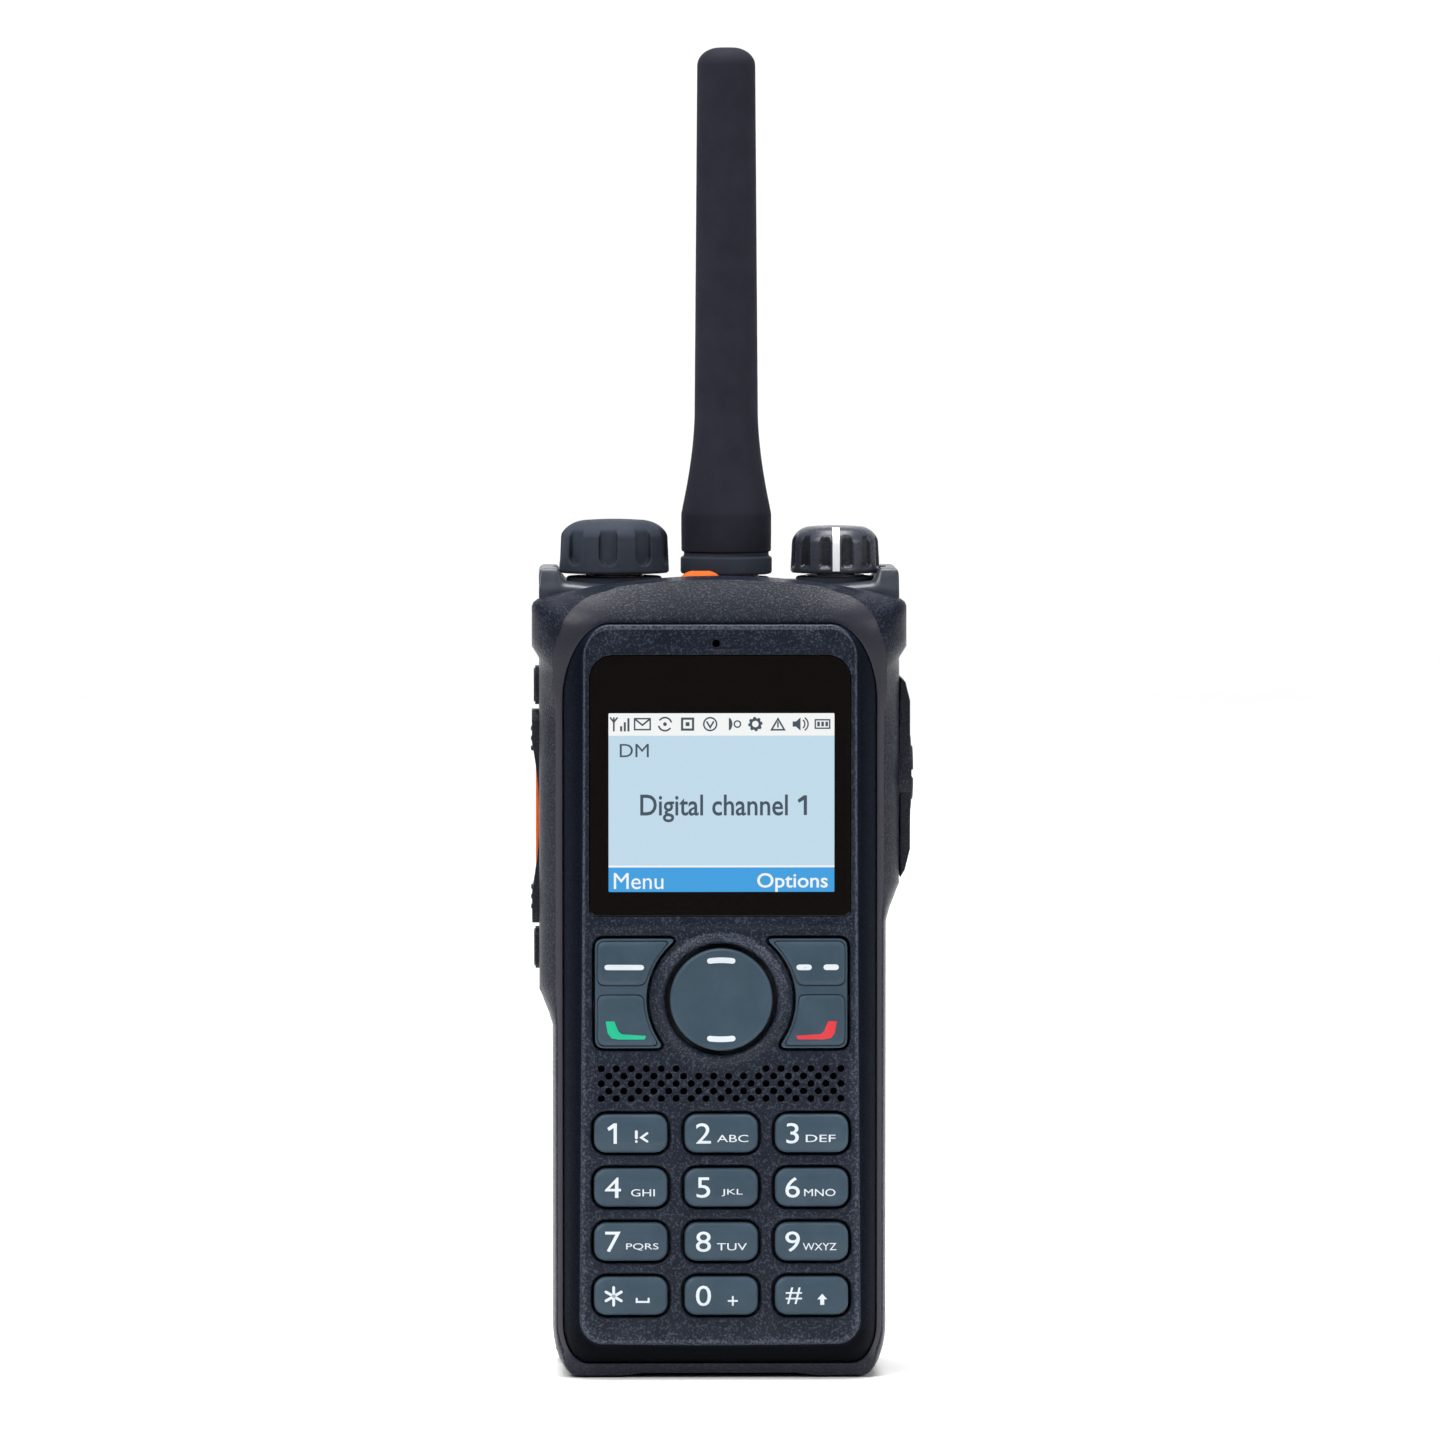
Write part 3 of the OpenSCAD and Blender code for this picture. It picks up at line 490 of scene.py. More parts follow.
def plate(outline, *holes):
    """A flat shape as (points, faces); each point is (x, z, side), where side is -1 in front and 1 behind."""
    loops = [list(outline)] + [list(h) for h in holes]
    flat = [p for loop in loops for p in loop]
    count = len(flat)
    triangles = tessellate_polygon([[Vector((x, z, 0)) for x, z in loop] for loop in loops])
    points = [(x, z, -1) for x, z in flat] + [(x, z, 1) for x, z in flat]
    faces = [tuple(t) for t in triangles] + [tuple(i + count for i in reversed(t)) for t in triangles]
    start = 0
    for loop in loops:
        size = len(loop)
        faces += [(start + i, start + (i + 1) % size, start + (i + 1) % size + count, start + i + count)
                  for i in range(size)]
        start += size
    return points, faces


def stroke(path, width):
    """The outline of an open line with round ends."""
    path = np.array(path, float)
    along = np.diff(path, axis=0)
    along /= np.linalg.norm(along, axis=1, keepdims=True)
    normals = np.stack([along[:, 1], -along[:, 0]], axis=1)
    first, last = normals[:1], normals[-1:]
    both = np.concatenate([first, normals[:-1] + normals[1:], last])
    both[1:-1] /= np.sum(both[1:-1] ** 2, axis=1, keepdims=True) / 2
    half = width / 2
    right = [tuple(p) for p in path + both * half]
    left = [tuple(p) for p in path - both * half]
    turn = math.degrees(math.atan2(normals[-1][1], normals[-1][0]))
    tip = arc(path[-1], (half, half), turn, turn + 180, 4)[1:-1]
    turn = math.degrees(math.atan2(-normals[0][1], -normals[0][0]))
    tail = arc(path[0], (half, half), turn, turn + 180, 4)[1:-1]
    return right + tip + left[::-1] + tail


def line(path, width):
    return plate(stroke(path, width))


def band(outline, width):
    """A closed line of a width, drawn inside an outline."""
    return plate(outline, grown(outline, -width)[::-1])


def letters(text, centre, height, stretch=1.0, span=None, bold=0.0):
    """Words in the built-in typeface, height millimetres high, as points (x, z, side) and faces.
    span, from the centre, is where they start and end; without it they are as wide as stretch makes them."""
    curve = bpy.data.curves.new("words", "FONT")
    curve.body = text
    curve.extrude = 1
    curve.offset = bold
    curve.resolution_u = 4
    holder = bpy.data.objects.new("words", curve)
    mesh = bpy.data.meshes.new_from_object(holder)
    points = np.array([v.co for v in mesh.vertices], float)
    faces = [tuple(p.vertices) for p in mesh.polygons]
    bpy.data.objects.remove(holder)
    bpy.data.curves.remove(curve)
    bpy.data.meshes.remove(mesh)
    low, high = points.min(axis=0), points.max(axis=0)
    scale = height / (high[1] - low[1])
    if span:
        x = centre[0] + span[0] + (points[:, 0] - low[0]) * (span[1] - span[0]) / (high[0] - low[0])
    else:
        x = centre[0] + (points[:, 0] - (low[0] + high[0]) / 2) * scale * stretch
    z = centre[1] + (points[:, 1] - (low[1] + high[1]) / 2) * scale
    return [(a, b, -np.sign(c)) for a, b, c in zip(x, z, points[:, 2])], faces


def sliced(shape, step):
    """A flat shape cut by level lines, so that it can follow a curved face."""
    points, faces = shape
    work = bmesh.new()
    corners = [work.verts.new(p) for p in points]
    for face in faces:
        if len(set(face)) > 2 and work.faces.get([corners[i] for i in face]) is None:
            work.faces.new([corners[i] for i in face])
    heights = [p[1] for p in points]
    for level in np.arange(min(heights) + step / 2, max(heights), step):
        plane_cut(work, (0, level, 0), (0, 1, 0), 1e-5)
    work.verts.index_update()
    result = [tuple(v.co) for v in work.verts], [tuple(v.index for v in f.verts) for f in work.faces]
    work.free()
    return result


def laid_on(shape, surface, proud=0.025, sunk=0.06):
    """A flat shape wrapped on the front of a surface, which is (points, faces) or a depth."""
    if np.isscalar(surface):
        points, faces = shape
        depth = [surface] * len(points)
    else:
        points, faces = sliced(shape, 0.4)
        tree = BVHTree.FromPolygons([Vector(p) for p in surface[0]], surface[1])
        hits = [tree.ray_cast(Vector((x, -30, z)), Vector((0, 1, 0)))[0] for x, z, _ in points]
        depth = [h.y for h in hits]
    return [(x, y - proud if side < 0 else y + sunk, z) for (x, z, side), y in zip(points, depth)], faces


def moved(shape, spot):
    """A flat shape moved by a distance in x and in z."""
    points, faces = shape
    return [(x + spot[0], z + spot[1], side) for x, z, side in points], faces


def bar(x, z, width, height):
    return plate(square((x, z), (x + width, z + height)))


def star(size):
    """A six-armed asterisk."""
    tips = [np.array([math.cos(a), math.sin(a)]) * size for a in np.radians((90, 150, 210))]
    return joined(*[line([-tip, tip], 0.42) for tip in tips])


def one(height):
    """The figure 1, with a flag."""
    top, foot = height / 2 - 0.2, -height / 2
    return plate([(0.1, foot), (0.6, foot), (0.6, top + 0.2), (0.12, top + 0.2), (-0.85, top - 0.5),
                  (-0.6, top - 0.95), (0.1, top - 0.5)])


# ------------------------------------------------------------------ driving sizes, from the frame

panel_low, panel_high = place("front_panel")
window_low, window_high = place("display_window")
flat_y = panel_low[1]                           # depth of the keypad's flat
nav = middle_of("navigation_key", "xz")
NAV_R = 7.77                                    # navigation key
KEY_W, KEY_H, KEY_R = 11.1, 5.85, 1.85          # number key caps
KEY_GAP = 0.4                                   # gap round a key
KEY_TOP = flat_y - 0.8                          # fronts of the caps
WALL_BACK = -15.9                               # how far the wells' walls go in
FUNCTION_R = 11.35                              # arc of the function keys about the navigation key
FUNCTION_LOW, FUNCTION_HIGH = 50.6, 67.2        # lower and upper edge of the function keys
FUNCTION_STEP = (59.05, 59.75)                  # the strip between the two of one side
FUNCTION_LIP = 0.3                              # the plate's edge round each of them
FUNCTION_SIDE = 19.1                            # their outer edge from the navigation key's centre
GRILLE_PITCH, GRILLE_R = 2.27, 0.55             # the grille's holes
GRILLE_LOW = 42.9                               # height of its lowest row
MIC = (-0.6, 111.95)                            # the microphone's hole
POCKET, POCKET_FLOOR = (0.65, 111.95), flat_y + 0.28    # the microphone's shallow pocket
RIDGE = (0, 69.2)                               # the low ridge under the display
# radius and rise of the ring about the navigation key
NAV_RING = [(8.43, -0.35), (8.53, 0), (8.75, 0.42), (9.05, 0.6), (9.4, 0.55), (9.85, 0.26), (10.2, 0.06),
            (10.45, 0)]
CORNER, SIDES, ENDS = 16, 47, 12                # points of the body's outlines
RIM_SIDE_Y, RIM_TOP_Y = -14.2, -17.0            # depth of the panel's rim at the sides and at the top
RIM_INSET = 0.65                                # the visible rim, in from the panel's widest
SHELL_BACK = -8.6                               # depth where the front shell meets the sides
SEAM = 0.15                                     # gap between panel and housing

FRONT = (0, -1, 0)                              # the way an open front piece looks
NUMBER_KEYS = ["key_" + k for k in ("1", "2", "3", "4", "5", "6", "7", "8", "9", "star", "0", "hash")]


def turn_corner(before, corner, after):
    """A curved corner from before to after, as a quadratic curve."""
    before, corner, after = (np.array(p, float) for p in (before, corner, after))
    return [tuple((1 - t) ** 2 * before + 2 * t * (1 - t) * corner + t ** 2 * after)
            for t in np.linspace(0, 1, 6)]


def function_outline(side, low, high, grow=0.0):
    """A function key's outline: a box with a hollow arc about the navigation key."""
    radius = FUNCTION_R - grow
    out = -FUNCTION_SIDE - grow
    cut = 1.4 + grow * 0.5                      # how far from its corners the outline starts to turn
    low, high = low - grow - nav[1], high + grow - nav[1]

    def on_arc(angle):
        return -radius * math.cos(angle), radius * math.sin(angle)

    start, end = math.asin(low / radius), math.asin(high / radius)
    a, b = start + cut / radius, end - cut / radius
    points = turn_corner((out, low + cut), (out, low), (out + cut, low))
    points += turn_corner((on_arc(start)[0] - cut, low), on_arc(start), on_arc(a))
    points += [on_arc(angle) for angle in np.linspace(a, b, 14)[1:-1]]
    points += turn_corner(on_arc(b), on_arc(end), (on_arc(end)[0] - cut, high))
    points += turn_corner((out + cut, high), (out, high), (out, high - cut))
    if side > 0:
        points = [(-x, z) for x, z in reversed(points)]
    return [(x + nav[0], z + nav[1]) for x, z in points]


def window_outline():
    return round_box(window_low[[0, 2]], window_high[[0, 2]], (0.9, 0.9), (3.6, 3.6), 8)


def rim_outline():
    """The front panel's rim, where it meets the housing."""
    return round_box((panel_low[0] + RIM_INSET, panel_low[2]), (panel_high[0] - RIM_INSET, panel_high[2]),
                     (3.7, 6), (7.1, 12), CORNER, SIDES, ENDS)


def rim_depth():
    """The rim's depth: it rises to the front where it rounds the top corners."""
    heights = np.array(rim_outline())[:, 1]
    return RIM_SIDE_Y + (RIM_TOP_Y - RIM_SIDE_Y) * smooth(heights, 101, panel_high[2])


# ------------------------------------------------------------------ front panel

def grille_places():
    places = []
    for row in range(5):
        offset = 8 if row % 2 == 0 else 7.5
        for i in range(17 if row % 2 == 0 else 16):
            if row < 4 or abs(i - 8) > 2.5:
                places.append((nav[0] + (i - offset) * GRILLE_PITCH, GRILLE_LOW + row * GRILLE_PITCH / 2))
    return places


def well(outline, radius, steps=3):
    """Rings of an opening's rounded edge. The first ring is the opening itself."""
    return [(grown(outline, d), flat_y + drop) for d, drop in fillet(radius, steps)]


def panel_wells():
    """The flat's openings, each as (outline, depth) rings. The first ring is the opening itself."""
    size = KEY_W + 2 * KEY_GAP, KEY_H + 2 * KEY_GAP
    wells = [well(pill(middle_of(key, "xz"), *size, KEY_R + KEY_GAP, 6), 0.42) for key in NUMBER_KEYS]
    wells += [well(grown(function_outline(side, FUNCTION_LOW, FUNCTION_HIGH), KEY_GAP), 0.3)
              for side in (-1, 1)]
    wells.append(well(grown(window_outline(), 0.06), 0.12, 2))
    wells += [[(circle(p, GRILLE_R, 14), flat_y + 0.1), (circle(p, GRILLE_R + 0.1, 14), flat_y)]
              for p in grille_places()]
    wells.append([(circle(nav, r, 72), flat_y - rise) for r, rise in NAV_RING])
    wells.append([(circle(MIC, 0.6, 16), POCKET_FLOOR + 0.1), (circle(MIC, 0.7, 16), POCKET_FLOOR)])
    return wells


def panel_sheet(outline, wells):
    """The flat, pierced by the wells, with the microphone's pocket and the ridge under the display."""
    loose = [(pill(POCKET, 5.7, 1.7, 0.84, 6), POCKET_FLOOR), (pill(POCKET, 6.3, 2.2, 1.08, 6), flat_y),
             (pill(RIDGE, 38.6, 1.3, 0.6, 4), flat_y), (pill(RIDGE, 38.1, 0.5, 0.24, 4), flat_y - 0.12)]
    rings = [ring for well_rings in wells for ring in well_rings]
    return pierced_sheet((outline, flat_y), rings + loose, [well_rings[0][0] for well_rings in wells])


def ring_highlight(points):
    """The painted highlight on the ring about the navigation key: strongest on its upper right and, less, on
    its upper left.
    """
    amounts = []
    for x, y, z in points:
        right, up = x - nav[0], z - nav[1]
        radius = math.hypot(right, up)
        amount = 0.0
        if 8.6 < radius < 10.2 and y < flat_y - 0.05:
            first, second = ((up + turn * right) / radius / 1.42 for turn in (1, -1))
            amount = 0.1 + 0.75 * max(first, 0) ** 3 + 0.3 * max(second, 0) ** 3
        amounts.append(amount)
    return amounts


def make_front_panel():
    """The keypad's flat with its openings, the bead round it and the slope down to the housing."""
    low, high = (panel_low[0] + 4.0, panel_low[2] + 3.9), (panel_high[0] - 4.0, panel_high[2] - 0.9)
    inner = np.array(round_box(low, high, (3, 3), (3.7, 3.7), CORNER, SIDES, ENDS))
    away = np.array(rim_outline()) - inner
    reach = np.linalg.norm(away, axis=1)
    away /= reach[:, None]
    bead = smooth(inner[:, 1], 40, 70)          # the bead stands beside the screen
    chin = smooth(inner[:, 1], 12, 7)
    beside = smooth(np.abs(inner[:, 0]), 18.5, 19.9)

    def row(step, depth):
        return [(x, y, z) for (x, z), y in zip(inner + away * step[:, None], depth)]

    # the edge of the flat: distance from it, height with and without the bead, and how much painted highlight
    # it gets
    rows, highlight_rows = [at_depth(inner, flat_y)], [0.25 + 0 * bead]
    for distance, raised, plain, highlight in (
            (0.15, 0.14, 0.02, 0.9), (0.38, 0.28, 0.03, 1.2), (0.65, 0.26, -0.03, 1.1),
            (0.85, 0.05, -0.18, 0.4), (1.0, -0.2, -0.38, 0.0)):
        edge_step = np.minimum(distance, reach * 0.9)
        edge_depth = flat_y - (bead * raised + (1 - bead) * plain)
        rows.append(row(edge_step, edge_depth))
        highlight_rows.append(highlight * (0.5 + 0.5 * bead + 0.3 * chin))

    # the slope from there down to the rim, and a lip behind the rim
    # painted shade on the slope: dark along the chin, and along the sides darkest near the flat and lighter
    # towards the rim
    slope, shade_rows = [rows[-1]], [0.3 * chin]
    for t in (0.15, 0.35, 0.55, 0.72, 0.86, 0.95, 1.0):
        drop = (rim_depth() - edge_depth) * (0.35 * t + 0.65 * t ** 2.2) + (0.1 if t == 1.0 else 0)
        slope.append(row(edge_step + (reach - edge_step) * t, edge_depth + drop))
        shade_rows.append(np.maximum(chin, 0.7 * beside * (1 - 0.6 * t)))
    slope.append([(x, y + 1.5, z) for x, y, z in slope[-1]])
    shade_rows.append(shade_rows[-1])
    build("front_panel_slope", skin(slope), panel_smooth_shaded, "radio", facing=FRONT,
          masks={"painted_shade_area": np.concatenate(shade_rows)})

    wells = panel_wells()
    sheet = panel_sheet([tuple(p) for p in inner], wells)
    walls = joined(*[skin([at_depth(rings[0][0], rings[0][1]), at_depth(rings[0][0], WALL_BACK)])
                     for rings in wells])
    # painted highlight on the ring about the navigation key and along the bead round the flat
    painted_highlight = ring_highlight(sheet[0]) + [0.0] * len(walls[0]) + list(np.concatenate(highlight_rows))
    build("front_panel_shell", joined(sheet, walls, skin(rows)), panel, "radio", ["front_panel"],
          FRONT, masks={"painted_highlight_area": painted_highlight})


make_front_panel()


# ------------------------------------------------------------------ housing

def arch(x):
    """Height of the housing's arched top edge."""
    return place("main_housing")[1][2] - 3.4 * (x / 27.5) ** 2


def silhouette():
    """The housing's outline at the shell's back, point for point with the rim's outline."""
    housing_low, housing_high = place("main_housing")
    # half widths at the foot, beside the side keys and at the top corners
    half, grip, bumper = 25.4, 27.4, housing_high[0]
    points = np.array(round_box((-half, housing_low[2]), (half, panel_high[2]), (3.8, 8.2), (7.3, 12),
                                CORNER, SIDES, ENDS))
    corner = [(grip, z) for z in (102.9, 105, 107.2, 109.4)]
    corner += [(bumper, z) for z in (111.2, 112.8, 114.4, 116, 117.3)]
    corner += [(bumper - 0.25, 117.9), (bumper - 0.9, 118.4)]
    corner += [(x, arch(x)) for x in (26.4, 24.8, 23.2, 21.6, 20.1, 17.05)]
    count = CORNER + 1
    right, left = count + SIDES, 2 * count + SIDES + ENDS
    points[right:right + count] = corner
    points[left:left + count] = [(-x, z) for x, z in reversed(corner)]
    points[right + count:left, 1] = arch(points[right + count:left, 0])
    for low, side, start in ((70, 1, count), (54, -1, left + count)):
        sides = points[start:start + SIDES]
        sides[:, 0] = side * (half + (grip - half) * np.clip((sides[:, 1] - low) / 5, 0, 1))
    notch = (points[:, 1] < 0.01) & (points[:, 0] > -13.7) & (points[:, 0] < 12.4)
    points[notch, 1] = 0.45
    return points


def make_housing_front():
    """The shell from the rim to its back: a smooth band beside the panel, a crest, and the rounded side.
    Over the display the band widens to a brow."""
    rim = np.array(grown(rim_outline(), SEAM))
    depth = rim_depth()
    outer = silhouette()
    away = outer - rim
    reach = np.linalg.norm(away, axis=1)
    away /= reach[:, None]
    # shares from 0 to 1 at each point of the rim
    x, z = np.abs(rim[:, 0]), rim[:, 1]
    top = smooth(z, 101, 111)
    bulging = np.clip((np.abs(outer[:, 0]) - 25.4) / 2, 0, 1)
    brow = smooth(x, 22.5, 14.5) * (z > 100)
    foot = smooth(z, 5, 3)
    low_side = smooth(z, 106, 100)
    crisp = np.maximum(bulging, top)            # where the side turns sharply
    # the crest: how far it is from the rim, how far behind it, and how the band curves up to it
    crest = np.minimum(0.75 + 0.3 * bulging + 2.1 * top, reach * 0.72)
    crest = crest * (1 - brow) + reach * 0.93 * brow
    crest = crest * (1 - foot) + reach * 0.8 * foot
    fall = 0.5 + 0.2 * top + 3.1 * brow - 0.2 * foot
    curve = 2 - 0.75 * brow
    rows, masks, reflection_rows = [], [], []

    def add_row(distance, level, mask, pale=0.0):
        rows.append([(px, py, pz) for (px, pz), py in zip(rim + away * distance[:, None], level)])
        masks.append(np.broadcast_to(mask, len(rim)))
        reflection_rows.append(np.broadcast_to(pale, len(rim)))

    still = np.zeros(len(rim))
    lit_band = (1 - smooth(x, 20.5, 15) * (z > 100)) * (1 - 0.75 * foot)
    add_row(still, depth + 1.5, 0)
    # pale is a painted reflection on the band beside the panel, strongest on the lower sides
    pale = lit_band * (0.5 + 0.5 * low_side)
    add_row(still, depth + 0.1, lit_band, pale)
    for t in (0.06, 0.15, 0.35, 0.55, 0.75, 0.9, 1.0):
        add_row(crest * t, depth + fall * t ** curve, lit_band, pale)
    add_row(crest + 0.04, depth + fall + 0.02, 0)
    # from the crest round the side, then back in behind the shell
    for t in np.linspace(0, 1, 8)[1:]:
        out = crisp * (1 - (1 - t) ** 1.6) + (1 - crisp) * math.sin(t * math.pi / 2)
        back = crisp * t + (1 - crisp) * (1 - math.cos(t * math.pi / 2))
        add_row(crest + (reach - crest) * out, depth + fall + (SHELL_BACK - depth - fall) * back, 0)
    add_row(reach, still + SHELL_BACK + 0.16, 0)
    add_row(reach * 0.25, still + SHELL_BACK + 0.16, 0)
    build("housing_front", skin(rows), shell, "radio", ["main_housing"], FRONT,
          masks={"smooth_area": np.concatenate(masks), "painted_reflection_area": np.concatenate(reflection_rows)})


def remade(name, node, material, width, body, keep_behind=None, corner=0.0):
    """A piece with a CAD node's shape and rounded edges; keep_behind cuts off what is in front of a depth,
    and corner rounds the two lower corners as seen from the front."""
    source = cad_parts[node].data
    work = bmesh.new()
    work.from_mesh(source)
    bmesh.ops.remove_doubles(work, verts=work.verts, dist=0.002 * MM)
    if keep_behind is not None:
        plane_cut(work, (0, keep_behind * MM, 0), FRONT, 0.0005 * MM, clear_outer=True)
    bmesh.ops.dissolve_limit(work, angle_limit=FLAT_ANGLE, verts=work.verts, edges=work.edges)
    if corner:
        wide = max(v.co.x for v in work.verts) / MM
        for level in (1.0, 0.7, 0.4, 0.17):
            plane_cut(work, (0, 0, corner * level * MM), (0, 0, 1), 0.0005 * MM)
        reach = 6                               # how far in from the sides a corner moves points
        for vert in work.verts:
            rise = max(corner - vert.co.z / MM, 0)
            if rise:
                inset = corner - math.sqrt(max(corner ** 2 - rise ** 2, 0))
                share = min(max((abs(vert.co.x) / MM - wide + reach) / reach, 0), 1)
                vert.co.x -= math.copysign(inset * share * MM, vert.co.x)
    mesh = bpy.data.meshes.new(name)
    work.to_mesh(mesh)
    work.free()
    mesh.materials.clear()
    mesh.materials.append(material)
    mesh.polygons.foreach_set("material_index", [0] * len(mesh.polygons))
    mesh.polygons.foreach_set("use_smooth", [True] * len(mesh.polygons))
    obj = linked(name, mesh)
    bevel_edges(obj, width)
    even_normals(obj)
    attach(obj, body)
    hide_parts(node)


make_housing_front()
remade("housing_rear", "main_housing", rear, 0.45, "radio", SHELL_BACK + 0.15)
remade("battery_shell", "battery_cover", rear, 0.4, "battery", corner=3.0)


# ------------------------------------------------------------------ keys

def cap(shrunk, deepest, top, bottom, edge=0.42, crown=0.18, bow=0.0):
    """A key's cap. shrunk(d) gives its outline moved in by d; it rises by crown from its edge to deepest,
    and its face falls off by bow towards its upper and its lower end."""
    rings = [at_depth(shrunk(0), bottom)]
    rings += [at_depth(shrunk(d), top + crown + drop) for d, drop in fillet(edge, 4)]
    for t in (0.2, 0.45, 0.7, 1.0):
        rings.append(at_depth(shrunk(edge + (deepest - edge) * t), top + crown * (1 - t) ** 2))
    heights = [p[1] for p in shrunk(0)]
    middle, half = (min(heights) + max(heights)) / 2, (max(heights) - min(heights)) / 2
    rings[1:] = [[(x, y + bow * ((z - middle) / half) ** 2, z) for x, y, z in ring] for ring in rings[1:]]
    return loft(rings)


LEGENDS = {
    "key_1": ("1", ""), "key_2": ("2", "ABC"), "key_3": ("3", "DEF"), "key_4": ("4", "GHI"),
    "key_5": ("5", "JKL"), "key_6": ("6", "MNO"), "key_7": ("7", "PQRS"), "key_8": ("8", "TUV"),
    "key_9": ("9", "WXYZ"), "key_0": ("0", "+"), "key_star": ("*", ""), "key_hash": ("#", "")}


# where the small letters start and end, from the middle of their key
SPANS = {"ABC": (-0.65, 4.1), "DEF": (-0.9, 3.6), "GHI": (0.05, 3.65), "JKL": (0.05, 3.25),
         "MNO": (-1.15, 3.6), "PQRS": (-0.7, 4.2), "TUV": (-0.65, 3.9), "WXYZ": (-1.35, 3.75)}


def key_marks(name):
    """The legend of a number key, about the key's middle."""
    digit, small = LEGENDS[name]
    if name == "key_star":
        space = line([(0.9, -0.35), (0.9, -0.85), (2.7, -0.85), (2.7, -0.35)], 0.3)
        return [moved(star(1.35), (-2.6, 0)), space]
    if name == "key_1":
        dashes = [line([(0.85, top), (0.85, foot)], 0.42) for top, foot in ((0.35, -0.6), (-1.15, -1.17))]
        return [moved(one(3.1), (-2.7, 0.05)), *dashes, line([(2.5, 0.1), (1.6, -0.55), (2.5, -1.15)], 0.34)]
    if name == "key_hash":
        arrow = [(0.75, -0.1), (0.3, -0.1), (0.3, -0.95), (-0.3, -0.95), (-0.3, -0.1), (-0.75, -0.1),
                 (0, 0.75)]
        return [letters(digit, (-2.7, 0.05), 2.5, 1.18), moved(plate(arrow), (1.6, -0.4))]
    middle = -2.9 if name in ("key_3", "key_6", "key_9") else -2.7
    marks = [letters(digit, (middle, 0.05), 3.1, 1.18)]
    if small == "+":
        marks.append(letters(small, (1.75, -0.72), 1.5))
    elif small:
        marks.append(letters(small, (0, -0.72), 1.1, span=SPANS[small]))
    return marks


def make_number_key(name):
    centre = middle_of(name, "xz")

    def shrunk(d):
        return pill(centre, KEY_W - 2 * d, KEY_H - 2 * d, max(KEY_R - d, 0.05), 7)

    body = cap(shrunk, 1.9, KEY_TOP, WALL_BACK, 0.5, 0.1, 0.5)
    build(name + "_cap", body, key_plastic, name, [name])
    marks = moved(joined(*key_marks(name)), centre)
    build(name + "_legend", laid_on(marks, body), key_ink, name, crease=30)


def make_function_key(name, side, upper):
    low = FUNCTION_STEP[1] if upper else FUNCTION_LOW
    high = FUNCTION_HIGH if upper else FUNCTION_STEP[0]

    def shrunk(d):
        return function_outline(side, low, high, -d - FUNCTION_LIP)

    body = cap(shrunk, 0.85, KEY_TOP, WALL_BACK, 0.42, 0.08, 0.3)
    build(name + "_cap", body, key_plastic, name, [name])
    return body


def make_function_keys():
    """A dash, two dots, a green and a red handset."""
    dash = line([(-17.3, 0), (-12.1, 0)], 0.8)
    dots = joined(*[line([(start, 0), (start + 1.5, 0)], 0.85) for start in (11.8, 15.9)])
    for name, side, mark in (("function_key_left", -1, dash), ("function_key_right", 1, dots)):
        body = make_function_key(name, side, True)
        build(name + "_legend", laid_on(moved(mark, (nav[0], 62.9)), body), key_ink, name)
    handset = [(-17.5, 54.7), (-17.2, 52.9), (-16.6, 52.15), (-15.6, 51.95), (-11.6, 51.95), (-11.4, 52.5),
               (-15.1, 52.75), (-15.6, 53.2), (-16.2, 54.7)]
    for name, side, material in (("call_key", -1, green_ink), ("end_key", 1, red_ink)):
        body = make_function_key(name, side, False)
        outline = [(nav[0] - side * px, z) for px, z in (handset if side < 0 else handset[::-1])]
        build(name + "_legend", laid_on(plate(outline), body), material, name)


def make_function_plates():
    """On each side, the plate that both function keys rise through."""
    for side, label in ((-1, "left"), (1, "right")):
        outline = function_outline(side, FUNCTION_LOW, FUNCTION_HIGH)
        holes = [grown(function_outline(side, low, high, -FUNCTION_LIP), 0.03)
                 for low, high in ((FUNCTION_STEP[1], FUNCTION_HIGH), (FUNCTION_LOW, FUNCTION_STEP[0]))]
        face, edge = flat_y - 0.38, grown(outline, -0.14)
        sheet = pierced_sheet((edge, face), [(hole, face) for hole in holes], holes)
        rings = [at_depth(edge, face), at_depth(grown(outline, -0.04), face + 0.04),
                 at_depth(outline, face + 0.14), at_depth(outline, WALL_BACK)]
        build("function_plate_" + label, joined(sheet, skin(rings)), key_plastic, "radio",
              facing=FRONT)


def make_navigation_key():
    profile = [(NAV_R, WALL_BACK), (NAV_R, flat_y - 0.45)]
    profile += [(NAV_R - d, flat_y - 0.95 + drop) for d, drop in fillet(0.5, 5)]
    profile += [(7.05, flat_y - 0.97), (6.6, flat_y - 0.95), (5.2, flat_y - 0.86), (3.4, flat_y - 0.78),
                (1.6, flat_y - 0.74), (0.4, flat_y - 0.73)]
    body = loft([at_depth(circle(nav, r, 96), y) for r, y in profile])
    build("navigation_key_cap", body, key_plastic, "navigation_key", ["navigation_key"])
    marks = []
    for side in (1, -1):
        bow = [(nav[0] + 14 * math.sin(a), nav[1] + side * (6.0 - 14 + 14 * math.cos(a)))
               for a in np.linspace(-0.125, 0.125, 9)]
        marks.append(line(bow, 0.85))
    build("navigation_key_legend", laid_on(joined(*marks), body), key_ink, "navigation_key")


for key in NUMBER_KEYS:
    make_number_key(key)
make_function_keys()
make_function_plates()
make_navigation_key()


# ------------------------------------------------------------------ display

SCREEN_LOW, SCREEN_HIGH = np.array([-16.9, 74.3]), np.array([17.3, 101.4])
SCREEN_BAR, SCREEN_STATUS = 78.0, 98.0          # top of the soft-key bar, bottom of the status bar


